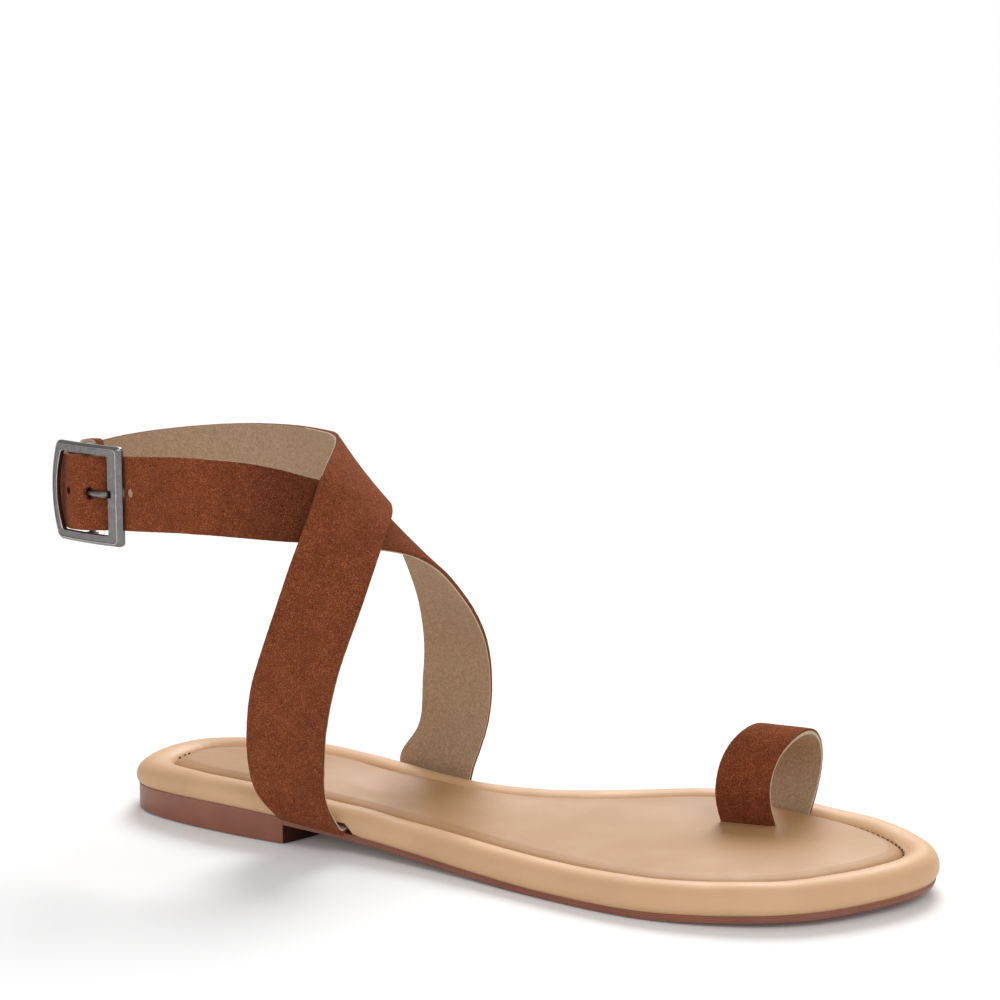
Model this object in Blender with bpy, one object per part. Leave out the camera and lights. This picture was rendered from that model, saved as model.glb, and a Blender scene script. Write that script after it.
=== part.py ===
"""A right foot's flat toe loop sandal with crossed suede straps, an ankle buckle and a padded footbed.

Metres, +Z up. While it is modelled, X runs from the heel's back to the toe tip, +Y is the medial
side, and Z = 0 is the floor. At the end the whole sandal moves so that the origin is on the floor
under the middle of its bounding box.
"""

import math

import bmesh
import bpy
import numpy as np

# The sole.
LENGTH = 0.250
OUTSOLE_THICKNESS = 0.0021
OUTSOLE_INSET = 0.0008
CLEARANCE = 0.0003
SOLE_STATIONS = 42
CAP_COLUMNS = 4

# Outline of the sole: how far it reaches to the lateral and the medial side at each station.
OUTLINE = (
    # x, lateral y, medial y
    (0.000, 0.0005, 0.0005),
    (0.006, -0.0173, 0.0181),
    (0.020, -0.0248, 0.0251),
    (0.045, -0.0295, 0.0276),
    (0.070, -0.0315, 0.0251),
    (0.095, -0.0323, 0.0215),
    (0.120, -0.0357, 0.0242),
    (0.145, -0.0412, 0.0362),
    (0.165, -0.0452, 0.0475),
    (0.185, -0.0469, 0.0522),
    (0.205, -0.0438, 0.0456),
    (0.225, -0.0346, 0.0366),
    (0.240, -0.0190, 0.0250),
    (0.250, 0.0045, 0.0045),
)

# Height of the outsole's upper face along the shoe: heel, arch, flat forefoot, toe spring.
SOLE_RISE = (
    # x, height
    (0.000, 0.0077),
    (0.020, 0.0084),
    (0.040, 0.0087),
    (0.060, 0.0083),
    (0.075, 0.0073),
    (0.090, 0.0060),
    (0.105, 0.0046),
    (0.120, 0.0034),
    (0.135, 0.0025),
    (0.150, 0.0020),
    (0.165, 0.0020),
    (0.180, 0.0021),
    (0.200, 0.0028),
    (0.225, 0.0037),
    (0.250, 0.0046),
)

# The moulded heel ends in a breast that bulges forward.
BREAST_MIDDLE = 0.0755
BREAST_BULGE = 8.6
HEEL_FLUSH = 0.00005

# Rolled rim of the footbed, from its lower edge outside to the recess for the insole.
RIM_PROFILE = (
    # inset from the outline, height over the outsole
    (0.0008, 0.00015),
    (0.0002, 0.0012),
    (0.0000, 0.0027),
    (0.0004, 0.0043),
    (0.0015, 0.0057),
    (0.0032, 0.0066),
    (0.0050, 0.0068),
    (0.0070, 0.0064),
    (0.0086, 0.0055),
    (0.0094, 0.0046),
    (0.0095, 0.0026),
)

# Padded insole, from its lower edge to where its flat middle begins.
INSOLE_PROFILE = (
    # inset from the outline, height over the outsole
    (0.0098, 0.0029),
    (0.0098, 0.0044),
    (0.0106, 0.0052),
    (0.0125, 0.0058),
    (0.0160, 0.0061),
)

# Hollows and pads that a foot finds in the insole.
INSOLE_RELIEF = (
    # x, y, reach along, reach across, rise
    (0.032, 0.000, 0.016, 0.012, -0.0007),
    (0.096, 0.012, 0.016, 0.008, 0.0016),
    (0.172, 0.004, 0.024, 0.024, -0.0008),
)

# The straps.
STRAP_THICKNESS = 0.0016
ROOT_LIFT = 0.00110
POCKET_HEIGHT = 0.0031
POCKET_MARGIN = 0.0016
POCKET_REACH = 0.05
OUTER_STRAP_STEP = 0.0021
INNER_STRAP_STEP = 0.0027

# Outer strap: from the lateral root over the instep, round the ankle to the buckle's bar.
LATERAL_ROOT_INNER = -0.0245
OUTER_STRAP = (
    # upper edge x, y, z, lower edge x, y, z
    (0.0693, -0.0302, 0.0089, 0.0895, -0.0305, 0.0072),
    (0.0688, -0.0322, 0.0093, 0.0893, -0.0326, 0.0077),
    (0.0670, -0.0336, 0.0110, 0.0885, -0.0340, 0.0094),
    (0.0625, -0.0346, 0.0150, 0.0848, -0.0347, 0.0145),
    (0.0594, -0.0355, 0.0255, 0.0842, -0.0352, 0.0260),
    (0.0604, -0.0360, 0.0434, 0.0853, -0.0355, 0.0370),
    (0.0638, -0.0352, 0.0565, 0.0876, -0.0337, 0.0508),
    (0.0692, -0.0330, 0.0740, 0.0910, -0.0285, 0.0663),
    (0.0731, -0.0288, 0.0897, 0.0922, -0.0178, 0.0826),
    (0.0749, -0.0250, 0.0985, 0.0903, -0.0085, 0.0903),
    (0.0752, -0.0190, 0.1071, 0.0875, 0.0000, 0.0946),
    (0.0708, -0.0050, 0.1132, 0.0850, 0.0074, 0.0972),
    (0.0642, 0.0085, 0.1164, 0.0785, 0.0162, 0.0976),
    (0.0530, 0.0190, 0.1173, 0.0620, 0.0235, 0.0965),
    (0.0400, 0.0260, 0.1178, 0.0450, 0.0280, 0.0960),
    (0.0250, 0.0290, 0.1180, 0.0270, 0.0300, 0.0960),
    (0.0080, 0.0290, 0.1173, 0.0085, 0.0296, 0.0953),
    (-0.0060, 0.0235, 0.1160, -0.0060, 0.0240, 0.0940),
    (-0.0138, 0.0120, 0.1147, -0.0138, 0.0120, 0.0927),
    (-0.0160, 0.0000, 0.1135, -0.0160, 0.0000, 0.0915),
    (-0.0150, -0.0120, 0.1127, -0.0150, -0.0120, 0.0907),
    (-0.0115, -0.0225, 0.1123, -0.0115, -0.0225, 0.0903),
    (-0.0060, -0.0290, 0.1123, -0.0060, -0.0290, 0.0903),
    (-0.0005, -0.0316, 0.1122, -0.0005, -0.0316, 0.0902),
)

# Inner strap: from the medial root under the outer one, along the ankle and through the buckle.
MEDIAL_ROOT_INNER = 0.0150
INNER_STRAP = (
    # rear or upper edge x, y, z, front or lower edge x, y, z
    (0.0772, 0.0222, 0.0083, 0.1010, 0.0196, 0.0062),
    (0.0770, 0.0248, 0.0088, 0.1013, 0.0223, 0.0066),
    (0.0769, 0.0259, 0.0103, 0.1016, 0.0235, 0.0082),
    (0.0772, 0.0264, 0.0140, 0.1022, 0.0241, 0.0115),
    (0.0810, 0.0275, 0.0225, 0.1035, 0.0260, 0.0175),
    (0.0833, 0.0280, 0.0355, 0.1057, 0.0280, 0.0265),
    (0.0841, 0.0278, 0.0484, 0.1071, 0.0280, 0.0393),
    (0.0843, 0.0258, 0.0610, 0.1070, 0.0250, 0.0525),
    (0.0840, 0.0200, 0.0735, 0.1048, 0.0178, 0.0656),
    (0.0838, 0.0148, 0.0815, 0.1016, 0.0140, 0.0722),
    (0.0840, 0.0095, 0.0884, 0.0990, 0.0098, 0.0772),
    (0.0826, 0.0045, 0.0938, 0.0963, 0.0045, 0.0810),
    (0.0793, -0.0010, 0.0983, 0.0930, -0.0020, 0.0838),
    (0.0760, -0.0075, 0.1020, 0.0900, -0.0085, 0.0855),
    (0.0730, -0.0148, 0.1049, 0.0860, -0.0150, 0.0868),
    (0.0699, -0.0220, 0.1073, 0.0793, -0.0215, 0.0879),
    (0.0655, -0.0272, 0.1096, 0.0707, -0.0272, 0.0888),
    (0.0570, -0.0320, 0.1116, 0.0590, -0.0320, 0.0898),
    (0.0450, -0.0343, 0.1124, 0.0455, -0.0343, 0.0904),
    (0.0320, -0.0353, 0.1126, 0.0320, -0.0353, 0.0905),
    (0.0220, -0.0355, 0.1123, 0.0220, -0.0355, 0.0903),
    (0.0155, -0.0354, 0.1122, 0.0155, -0.0354, 0.0902),
    (0.0100, -0.0374, 0.1122, 0.0100, -0.0374, 0.0902),
    (0.0045, -0.0389, 0.1122, 0.0045, -0.0389, 0.0902),
    (-0.0010, -0.0370, 0.1122, -0.0010, -0.0370, 0.0902),
    (-0.0034, -0.0352, 0.1122, -0.0034, -0.0352, 0.0902),
    (-0.0065, -0.0333, 0.1122, -0.0065, -0.0333, 0.0902),
    (-0.0104, -0.0293, 0.1122, -0.0104, -0.0293, 0.0902),
    (-0.0135, -0.0236, 0.1122, -0.0135, -0.0236, 0.0902),
    (-0.0171, -0.0125, 0.1126, -0.0171, -0.0125, 0.0906),
    (-0.0181, 0.0000, 0.1133, -0.0181, 0.0000, 0.0913),
    (-0.0169, 0.0090, 0.1143, -0.0169, 0.0090, 0.0923),
)

# Round spot where the two straps are stitched to each other, from the inner to the outer one.
STITCH_INNER = (0.0805, -0.0157, 0.0933)
STITCH_OUTER = (0.0827, -0.0170, 0.0944)
STITCH_RADIUS = 0.0045

# Toe loop: its ends go down into two slits in the insole.
TOE_LOOP = (
    # rear edge x, y, z, front edge x, y, z
    (0.1860, 0.0166, 0.0053, 0.2000, 0.0149, 0.0059),
    (0.1858, 0.0162, 0.0090, 0.2001, 0.0146, 0.0090),
    (0.1847, 0.0138, 0.0160, 0.2003, 0.0135, 0.0155),
    (0.1850, 0.0140, 0.0240, 0.2012, 0.0140, 0.0235),
    (0.1880, 0.0170, 0.0318, 0.2035, 0.0170, 0.0313),
    (0.1928, 0.0245, 0.0365, 0.2080, 0.0245, 0.0365),
    (0.1950, 0.0345, 0.0330, 0.2100, 0.0340, 0.0325),
    (0.1945, 0.0400, 0.0240, 0.2092, 0.0395, 0.0235),
    (0.1938, 0.0402, 0.0150, 0.2070, 0.0382, 0.0150),
    (0.1937, 0.0380, 0.0092, 0.2066, 0.0339, 0.0095),
    (0.1937, 0.0370, 0.0057, 0.2064, 0.0326, 0.0063),
)

TOE_LOOP_STEP = 0.0020
SLIT_CLEARANCE = 0.0004

# Buckle: a frame of four bars over the strap, with a bar behind for the prong.
BUCKLE_CENTRE = (0.0066, -0.0389, 0.1011)
BUCKLE_LEAN = math.radians(3.4)
BUCKLE_SIZE = (0.0256, 0.0292)
BUCKLE_OPENING = (-0.0099, 0.0068, 0.0234)
BUCKLE_THICKNESS = 0.0022
BUCKLE_BOW = 0.0012
BUCKLE_CORNER = 0.0014
BUCKLE_INNER_CORNER = 0.0006
BUCKLE_SIDE_BOW = 0.0010
BAR_OFFSET = (-0.0021, 0.0046)
BAR_RADIUS = 0.0010
BAR_POST = 0.0013
POST_HALF_WIDTH = 0.0014
POST_DEPTH = 0.0012
POST_INSET = 0.0004
PRONG_RADIUS = 0.0008
PRONG_TIP = (0.0146, -0.0397)
PRONG_NOTCH_LENGTH = 0.0040
PRONG_NOTCH_END = 0.0006
PRONG_BEND = (0.0048, 0.0004)
PRONG_STRAIGHT = 0.0030
STRAP_HOLE_RADIUS = 0.0012
HOLE_START = 0.0040
HOLE_END = 0.0014
STRAP_HOLES = (
    # x, y, z of the holes that show
    (-0.0012, -0.0373, 0.1016),
    (0.0202, -0.0358, 0.1014),
)
PRONG_HOLE = (0.0075, -0.0382, 0.1012)
PRONG_HOLE_RADIUS = 0.0026
PRONG_HOLE_END = 0.0030
FOLD_CLEARANCE = 0.0005
FOLD_SLOT_HEIGHT = 0.0040
FOLD_SLOT = (
    # x, y of its corners from the bar's middle
    (-0.0037, -0.0036),
    (0.0050, -0.0036),
    (0.0050, 0.0045),
    (-0.0037, 0.0045),
)
FOLD_END = (
    # how far the turned end goes back from the bar, and in from the fold
    (0.0028, 0.0007),
    (0.0052, 0.0018),
)

# Keeper: a narrow band round both straps at the back of the ankle.
KEEPER_MIDDLE = (-0.0167, -0.0070, 0.1018)
KEEPER_OPENING = (0.0048, 0.0236)
KEEPER_THICKNESS = 0.0013
KEEPER_WIDTH = 0.0070
KEEPER_TURN = math.radians(6.0)

OUTSOLE_BROWN = (0.245, 0.088, 0.062, 1.0)
FOOTBED_TAN = (0.630, 0.375, 0.200, 1.0)
SUEDE_RUST = (0.190, 0.058, 0.022, 1.0)
PEWTER = (0.300, 0.290, 0.285, 1.0)


def clear_scene():
    for old in list(bpy.data.objects):
        bpy.data.objects.remove(old, do_unlink=True)


def smooth_curve(knots, values, wanted):
    """A natural cubic curve through the values at the knots, read where it is wanted."""
    knots = np.asarray(knots, float)
    values = np.asarray(values, float)
    count = len(knots)
    step = np.diff(knots)
    slopes = np.diff(values, axis=0) / step.reshape(-1, *[1] * (values.ndim - 1))
    matrix = np.eye(count)
    right = np.zeros_like(values)
    for i in range(1, count - 1):
        matrix[i, i - 1] = step[i - 1]
        matrix[i, i] = 2.0 * (step[i - 1] + step[i])
        matrix[i, i + 1] = step[i]
        right[i] = 6.0 * (slopes[i] - slopes[i - 1])
    bend = np.linalg.solve(matrix, right)
    place = np.clip(np.searchsorted(knots, wanted) - 1, 0, count - 2)
    after = np.asarray(wanted, float) - knots[place]
    before = knots[place + 1] - np.asarray(wanted, float)
    width = step[place]
    if values.ndim > 1:
        after, before, width = after[:, None], before[:, None], width[:, None]
    return (
        (bend[place] * before**3 + bend[place + 1] * after**3) / (6.0 * width)
        + (values[place] / width - bend[place] * width / 6.0) * before
        + (values[place + 1] / width - bend[place + 1] * width / 6.0) * after
    )


def sole_height(x):
    """Height of the outsole's upper face."""
    rise = np.array(SOLE_RISE)
    return smooth_curve(rise[:, 0], rise[:, 1], np.clip(x, 0.0, LENGTH))


def closed_outline():
    """The outline as a closed loop of points, round at both ends, with equal x on both sides."""
    rows = np.array(OUTLINE)
    angle = np.arccos(1.0 - 2.0 * rows[:, 0] / LENGTH)
    around = np.concatenate([angle, 2.0 * math.pi - angle[-2:0:-1]])
    reach = np.concatenate([rows[:, 2], rows[-2:0:-1, 1]])
    lap = 2.0 * math.pi
    around = np.concatenate([around[-4:] - lap, around, around[:5] + lap])
    reach = np.concatenate([reach[-4:], reach, reach[:5]])
    turn = np.arange(2 * SOLE_STATIONS) * math.pi / SOLE_STATIONS
    along = LENGTH * (1.0 - np.cos(turn)) / 2.0
    return np.stack([along, smooth_curve(around, reach, turn)], axis=1)


def inset_loop(distance):
    """The outline moved inward by a distance."""
    loop = closed_outline()
    along = np.roll(loop, -1, axis=0) - np.roll(loop, 1, axis=0)
    along /= np.linalg.norm(along, axis=1)[:, None]
    inward = np.stack([along[:, 1], -along[:, 0]], axis=1)
    return loop + inward * distance


def lay_cap(mesh, ring, height_at):
    """Closes a ring with rows of faces from side to side, which follow the height function."""
    count = len(ring)
    half = count // 2
    rows = [[ring[0]]]
    for i in range(1, half):
        low, high = ring[count - i], ring[i]
        row = [low]
        for k in range(1, CAP_COLUMNS):
            spot = low.co.lerp(high.co, k / CAP_COLUMNS)
            row.append(mesh.verts.new((spot.x, spot.y, height_at(spot.x, spot.y))))
        rows.append(row + [high])
    rows.append([ring[half]])
    for near, far in zip(rows, rows[1:]):
        for k in range(CAP_COLUMNS):
            corners = [near[min(k, len(near) - 1)], near[min(k + 1, len(near) - 1)]]
            corners += [far[min(k + 1, len(far) - 1)], far[min(k, len(far) - 1)]]
            mesh.faces.new(list(dict.fromkeys(corners)))


def join_rings(mesh, first, second):
    count = len(first)
    for i in range(count):
        j = (i + 1) % count
        mesh.faces.new((first[i], first[j], second[j], second[i]))


def finish_object(name, mesh, material, smooth=True):
    """Puts a mesh into the scene as a named object with its material."""
    bmesh.ops.recalc_face_normals(mesh, faces=mesh.faces)
    data = bpy.data.meshes.new(name)
    mesh.to_mesh(data)
    mesh.free()
    made = bpy.data.objects.new(name, data)
    bpy.context.scene.collection.objects.link(made)
    if material is not None:
        data.materials.append(material)
    if smooth:
        data.shade_smooth()
        data.set_sharp_from_angle(angle=math.radians(35.0))
    return made


def stacked_slab(name, profile, lower_at, upper_at, material):
    """A slab of the sole's outline: a ring for each profile row, closed below and above."""
    mesh = bmesh.new()
    rings = []
    for distance, height in profile:
        loop = inset_loop(distance)
        level = height(loop[:, 0])
        rings.append([mesh.verts.new((x, y, z)) for (x, y), z in zip(loop, level)])
    for first, second in zip(rings, rings[1:]):
        join_rings(mesh, first, second)
    lay_cap(mesh, rings[0], lower_at)
    lay_cap(mesh, rings[-1], upper_at)
    return finish_object(name, mesh, material)


def plain_material(name, colour, roughness, metallic=0.0):
    made = bpy.data.materials.new(name)
    made.use_nodes = True
    shader = made.node_tree.nodes["Principled BSDF"]
    shader.inputs["Base Color"].default_value = colour
    shader.inputs["Roughness"].default_value = roughness
    shader.inputs["Metallic"].default_value = metallic
    return made


def apply_boolean(target, other, operation):
    """Joins another solid to the target, or cuts it away. The other one stays as a hidden guide."""
    other.hide_render = True
    other.display_type = "WIRE"
    change = target.modifiers.new(operation.title() + " " + other.name, "BOOLEAN")
    change.operation = operation
    change.solver = "EXACT"
    change.object = other


def block(name, corners):
    """A closed block from eight corners: four below and four above, in the same order."""
    mesh = bmesh.new()
    points = [mesh.verts.new(corner) for corner in corners]
    join_rings(mesh, points[:4], points[4:])
    mesh.faces.new(points[:4])
    mesh.faces.new(points[4:])
    return finish_object(name, mesh, None, smooth=False)


def rod(name, start, end, radius, sides=12, material=None):
    """A round rod between two points."""
    start, end = np.array(start, float), np.array(end, float)
    along = (end - start) / np.linalg.norm(end - start)
    aside = np.cross(along, (0.0, 0.0, 1.0) if abs(along[2]) < 0.9 else (1.0, 0.0, 0.0))
    aside /= np.linalg.norm(aside)
    third = np.cross(along, aside)
    mesh = bmesh.new()
    rings = []
    for centre in (start, end):
        ring = []
        for k in range(sides):
            turn = 2.0 * math.pi * k / sides
            reach = math.cos(turn) * aside + math.sin(turn) * third
            ring.append(mesh.verts.new(centre + radius * reach))
        rings.append(ring)
    join_rings(mesh, rings[0], rings[1])
    mesh.faces.new(rings[0])
    mesh.faces.new(rings[1])
    return finish_object(name, mesh, material)


def ribbon_edges(rows, spacing):
    """Both edges of a strap as smooth curves through its rows."""
    rows = np.array(rows)
    middle = (rows[:, :3] + rows[:, 3:]) / 2.0
    walked = np.concatenate([[0.0], np.cumsum(np.linalg.norm(np.diff(middle, axis=0), axis=1))])
    steps = int(round(walked[-1] / spacing))
    places = np.linspace(0.0, walked[-1], steps + 1)
    curve = smooth_curve(walked, rows, places)
    return curve[:, :3], curve[:, 3:]


def side_of(edge, across):
    along = np.gradient(edge, axis=0)
    facing = np.cross(along, across)
    return facing / np.linalg.norm(facing, axis=1)[:, None]


def ribbon(name, rows, thickness, spacing, material, grow=0.0):
    """A strap: a flat band of even thickness along its two edges.

    A cutter for the slits that take a strap is the same band, grown on all sides and run on past
    its ends.
    """
    first, second = ribbon_edges(rows, spacing)
    across = second - first
    across /= np.linalg.norm(across, axis=1)[:, None]
    out_first = side_of(first, across) * (thickness / 2.0 + grow)
    out_second = side_of(second, across) * (thickness / 2.0 + grow)
    if grow > 0.0:
        first = first - across * grow
        second = second + across * grow
        for edge in (first, second):
            edge[0] += edge[0] - edge[1]
            edge[-1] += edge[-1] - edge[-2]
    mesh = bmesh.new()
    rings = []
    for a, b, p, q in zip(first, second, out_first, out_second):
        rings.append([mesh.verts.new(spot) for spot in (a + p, b + q, b - q, a - p)])
    for near, far in zip(rings, rings[1:]):
        join_rings(mesh, near, far)
    mesh.faces.new(rings[0])
    mesh.faces.new(rings[-1])
    return finish_object(name, mesh, material)


def with_root(rows, inner_y):
    """Adds the tucked end of a strap, flat between rim and outsole."""
    start = rows[0]
    rear_x, front_x = start[0], start[3]
    rear_z = float(sole_height(rear_x)) + ROOT_LIFT
    front_z = float(sole_height(front_x)) + ROOT_LIFT
    return ((rear_x, inner_y, rear_z, front_x, inner_y, front_z),) + tuple(rows)


def root_pocket(name, rows, inner_y, outer_y):
    """Cutter for the space under the rim that takes a strap's tucked end."""
    towards = math.copysign(1.0, outer_y - inner_y)
    inner = inner_y - towards * POCKET_MARGIN
    rear = rows[0][0] - POCKET_MARGIN
    front = rows[0][3] + POCKET_MARGIN
    low, high = [], []
    for x, y in ((rear, inner), (front, inner), (front, outer_y), (rear, outer_y)):
        floor = float(sole_height(x))
        low.append((x, y, floor - 0.001))
        high.append((x, y, floor + POCKET_HEIGHT))
    return block(name, low + high)


def build_outsole(material):
    """Thin outsole with arch and toe spring, moulded in one with its low heel."""

    def upper(x, _y=0.0):
        return sole_height(x) - CLEARANCE / 2.0

    def lower(x, _y=0.0):
        return np.maximum(sole_height(x) - OUTSOLE_THICKNESS, 0.0)

    sheet = stacked_slab(
        "outsole", ((OUTSOLE_INSET, lower), (OUTSOLE_INSET, upper)), lower, upper, material
    )
    flush = OUTSOLE_INSET + HEEL_FLUSH

    def heel_top(x, _y=0.0):
        return sole_height(x) - OUTSOLE_THICKNESS / 2.0

    def heel_floor(x, _y=0.0):
        return np.zeros_like(x)

    heel = stacked_slab(
        "heel_form", ((flush, heel_floor), (flush, heel_top)), heel_floor, heel_top, None
    )
    front = bmesh.new()
    rings = []
    for z in (-0.01, 0.03):
        ring = []
        for k in range(13):
            y = -0.06 + 0.12 * k / 12
            ring.append(front.verts.new((BREAST_MIDDLE - BREAST_BULGE * y * y, y, z)))
        ring.append(front.verts.new((LENGTH + 0.05, 0.06, z)))
        ring.append(front.verts.new((LENGTH + 0.05, -0.06, z)))
        rings.append(ring)
    join_rings(front, rings[0], rings[1])
    front.faces.new(rings[0])
    front.faces.new(rings[1])
    breast = finish_object("breast_cut", front, None, smooth=False)
    apply_boolean(heel, breast, "DIFFERENCE")
    apply_boolean(sheet, heel, "UNION")
    return sheet


def build_rim(material):
    """Footbed slab with its rolled rim, a recess for the insole and pockets for the strap ends."""

    def level(height):
        return lambda x, _y=0.0: sole_height(x) + height

    rim = stacked_slab(
        "padded_rim",
        [(inset, level(height)) for inset, height in RIM_PROFILE],
        level(RIM_PROFILE[0][1]),
        level(RIM_PROFILE[-1][1]),
        material,
    )
    lateral = root_pocket("lateral_pocket", OUTER_STRAP, LATERAL_ROOT_INNER, -POCKET_REACH)
    medial = root_pocket("medial_pocket", INNER_STRAP, MEDIAL_ROOT_INNER, POCKET_REACH)
    apply_boolean(rim, lateral, "DIFFERENCE")
    apply_boolean(rim, medial, "DIFFERENCE")
    return rim


def insole_relief(x, y):
    rise = 0.0
    for middle_x, middle_y, reach_x, reach_y, height in INSOLE_RELIEF:
        away = ((x - middle_x) / reach_x) ** 2 + ((y - middle_y) / reach_y) ** 2
        rise = rise + height * math.exp(-away)
    return rise


def build_insole(material):
    """Padded sock panel in the rim's recess, with two slits for the toe loop."""

    def level(height):
        return lambda x, _y=0.0: sole_height(x) + height

    def top(x, y):
        return float(sole_height(x)) + INSOLE_PROFILE[-1][1] + insole_relief(x, y)

    insole = stacked_slab(
        "insole",
        [(inset, level(height)) for inset, height in INSOLE_PROFILE],
        level(INSOLE_PROFILE[0][1]),
        top,
        material,
    )
    slits = ribbon("toe_loop_slits", TOE_LOOP, STRAP_THICKNESS, TOE_LOOP_STEP, None, grow=SLIT_CLEARANCE)
    apply_boolean(insole, slits, "DIFFERENCE")
    return insole


def buckle_point(across, up, out):
    """A place on the buckle: along the strap, up, and out from its middle."""
    lean_cos, lean_sin = math.cos(BUCKLE_LEAN), math.sin(BUCKLE_LEAN)
    x = BUCKLE_CENTRE[0] + across * lean_cos + up * lean_sin
    z = BUCKLE_CENTRE[2] - across * lean_sin + up * lean_cos
    return (x, BUCKLE_CENTRE[1] - out, z)


def bar_middle():
    """Middle of the bar behind the strap, in the sandal's own frame."""
    return buckle_point(BAR_OFFSET[0], 0.0, -BAR_OFFSET[1])


def fold_round_bar(rows):
    """Adds the end of the outer strap, which turns round the leaning bar and comes back."""
    bar_x, bar_y, bar_z = bar_middle()
    radius = BAR_RADIUS + FOLD_CLEARANCE + STRAP_THICKNESS / 2.0
    top, bottom = rows[-1][2], rows[-1][5]
    top_lean = (top - bar_z) * math.tan(BUCKLE_LEAN)
    bottom_lean = (bottom - bar_z) * math.tan(BUCKLE_LEAN)
    path = []
    for degrees in (-90, -45, 0, 45, 90):
        turn = math.radians(degrees)
        path.append((bar_x + radius * math.cos(turn), bar_y - radius * math.sin(turn)))
    for back, drop in FOLD_END:
        path.append((bar_x - back, bar_y - radius + drop))
    folded = [(x + top_lean, y, top, x + bottom_lean, y, bottom) for x, y in path]
    return list(rows) + folded


def build_crossed_straps(material):
    """The upper: two straps, stitched together where they cross."""
    outer_rows = fold_round_bar(with_root(OUTER_STRAP, LATERAL_ROOT_INNER))
    inner_rows = with_root(INNER_STRAP, MEDIAL_ROOT_INNER)
    outer = ribbon("crossed_straps", outer_rows, STRAP_THICKNESS, OUTER_STRAP_STEP, material)
    inner = ribbon("inner_strap_form", inner_rows, STRAP_THICKNESS, INNER_STRAP_STEP, None)
    bar_x, bar_y, bar_z = bar_middle()
    half = FOLD_SLOT_HEIGHT / 2.0
    slot = [(bar_x + dx, bar_y + dy, bar_z + dz) for dz in (-half, half) for dx, dy in FOLD_SLOT]
    apply_boolean(outer, block("prong_slot", slot), "DIFFERENCE")
    for number, (x, y, z) in enumerate(STRAP_HOLES):
        ends = ((x, y - HOLE_START, z), (x, y + HOLE_END, z))
        hole = rod(f"strap_hole_{number}", ends[0], ends[1], STRAP_HOLE_RADIUS, 10)
        apply_boolean(inner, hole, "DIFFERENCE")
    x, y, z = PRONG_HOLE
    ends = ((x, y - HOLE_START, z), (x, y + PRONG_HOLE_END, z))
    apply_boolean(inner, rod("prong_hole", ends[0], ends[1], PRONG_HOLE_RADIUS, 12), "DIFFERENCE")
    stitch = rod("crossing_stitch", STITCH_INNER, STITCH_OUTER, STITCH_RADIUS, 12)
    apply_boolean(outer, stitch, "UNION")
    apply_boolean(outer, inner, "UNION")
    return outer


def build_toe_loop(material):
    """Short strap over the second toe."""
    return ribbon("toe_loop", TOE_LOOP, STRAP_THICKNESS, TOE_LOOP_STEP, material)


def rounded_rectangle(low, high, half_height, corner, steps=3):
    """Points round a rectangle whose corners are arcs."""
    points = []
    middles = (
        (high - corner, half_height - corner, 0.0),
        (low + corner, half_height - corner, 90.0),
        (low + corner, -half_height + corner, 180.0),
        (high - corner, -half_height + corner, 270.0),
    )
    for across, up, start in middles:
        for k in range(steps + 1):
            turn = math.radians(start + 90.0 * k / steps)
            points.append((across + corner * math.cos(turn), up + corner * math.sin(turn)))
    return points


def build_buckle_frame(material):
    """Square frame, a little bowed, with a bar behind it that carries the strap and the prong."""
    half_width, half_height = BUCKLE_SIZE[0] / 2.0, BUCKLE_SIZE[1] / 2.0
    outer = rounded_rectangle(-half_width, half_width, half_height, BUCKLE_CORNER)
    rear, front, height = BUCKLE_OPENING
    inner = rounded_rectangle(rear, front, height / 2.0, BUCKLE_INNER_CORNER)
    mesh = bmesh.new()
    rings = []
    for points, out in ((outer, 1.0), (inner, 1.0), (inner, -1.0), (outer, -1.0)):
        ring = []
        for across, up in points:
            bowed = -BUCKLE_BOW * (across / half_width) ** 2
            if points is outer and across < 0.0:
                across -= BUCKLE_SIDE_BOW * (1.0 - (up / half_height) ** 2)
            face = bowed + out * BUCKLE_THICKNESS / 2.0
            ring.append(mesh.verts.new(buckle_point(across, up, face)))
        rings.append(ring)
    for near, far in zip(rings, rings[1:] + rings[:1]):
        join_rings(mesh, near, far)
    frame = finish_object("buckle_frame", mesh, material)
    across, depth = BAR_OFFSET
    reach = half_height - BAR_POST
    ends = (buckle_point(across, -reach, -depth), buckle_point(across, reach, -depth))
    apply_boolean(frame, rod("bar_form", ends[0], ends[1], BAR_RADIUS, 12), "UNION")
    back = -depth - POST_DEPTH
    for name, side in (("upper_post", 1.0), ("lower_post", -1.0)):
        corners = []
        for up in (side * (half_height - POST_INSET), side * (half_height - 2.0 * BAR_POST)):
            for wide, deep in ((-1.0, back), (1.0, back), (1.0, 0.0), (-1.0, 0.0)):
                corners.append(buckle_point(across + wide * POST_HALF_WIDTH, up, deep))
        apply_boolean(frame, block(name, corners), "UNION")
    tip_x, tip_y = PRONG_TIP
    tip_z = bar_middle()[2]
    ends = ((tip_x - PRONG_NOTCH_LENGTH, tip_y, tip_z), (tip_x + PRONG_NOTCH_END, tip_y, tip_z))
    notch = rod("prong_notch", ends[0], ends[1], PRONG_RADIUS + CLEARANCE, 12)
    apply_boolean(frame, notch, "DIFFERENCE")
    return frame


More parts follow.
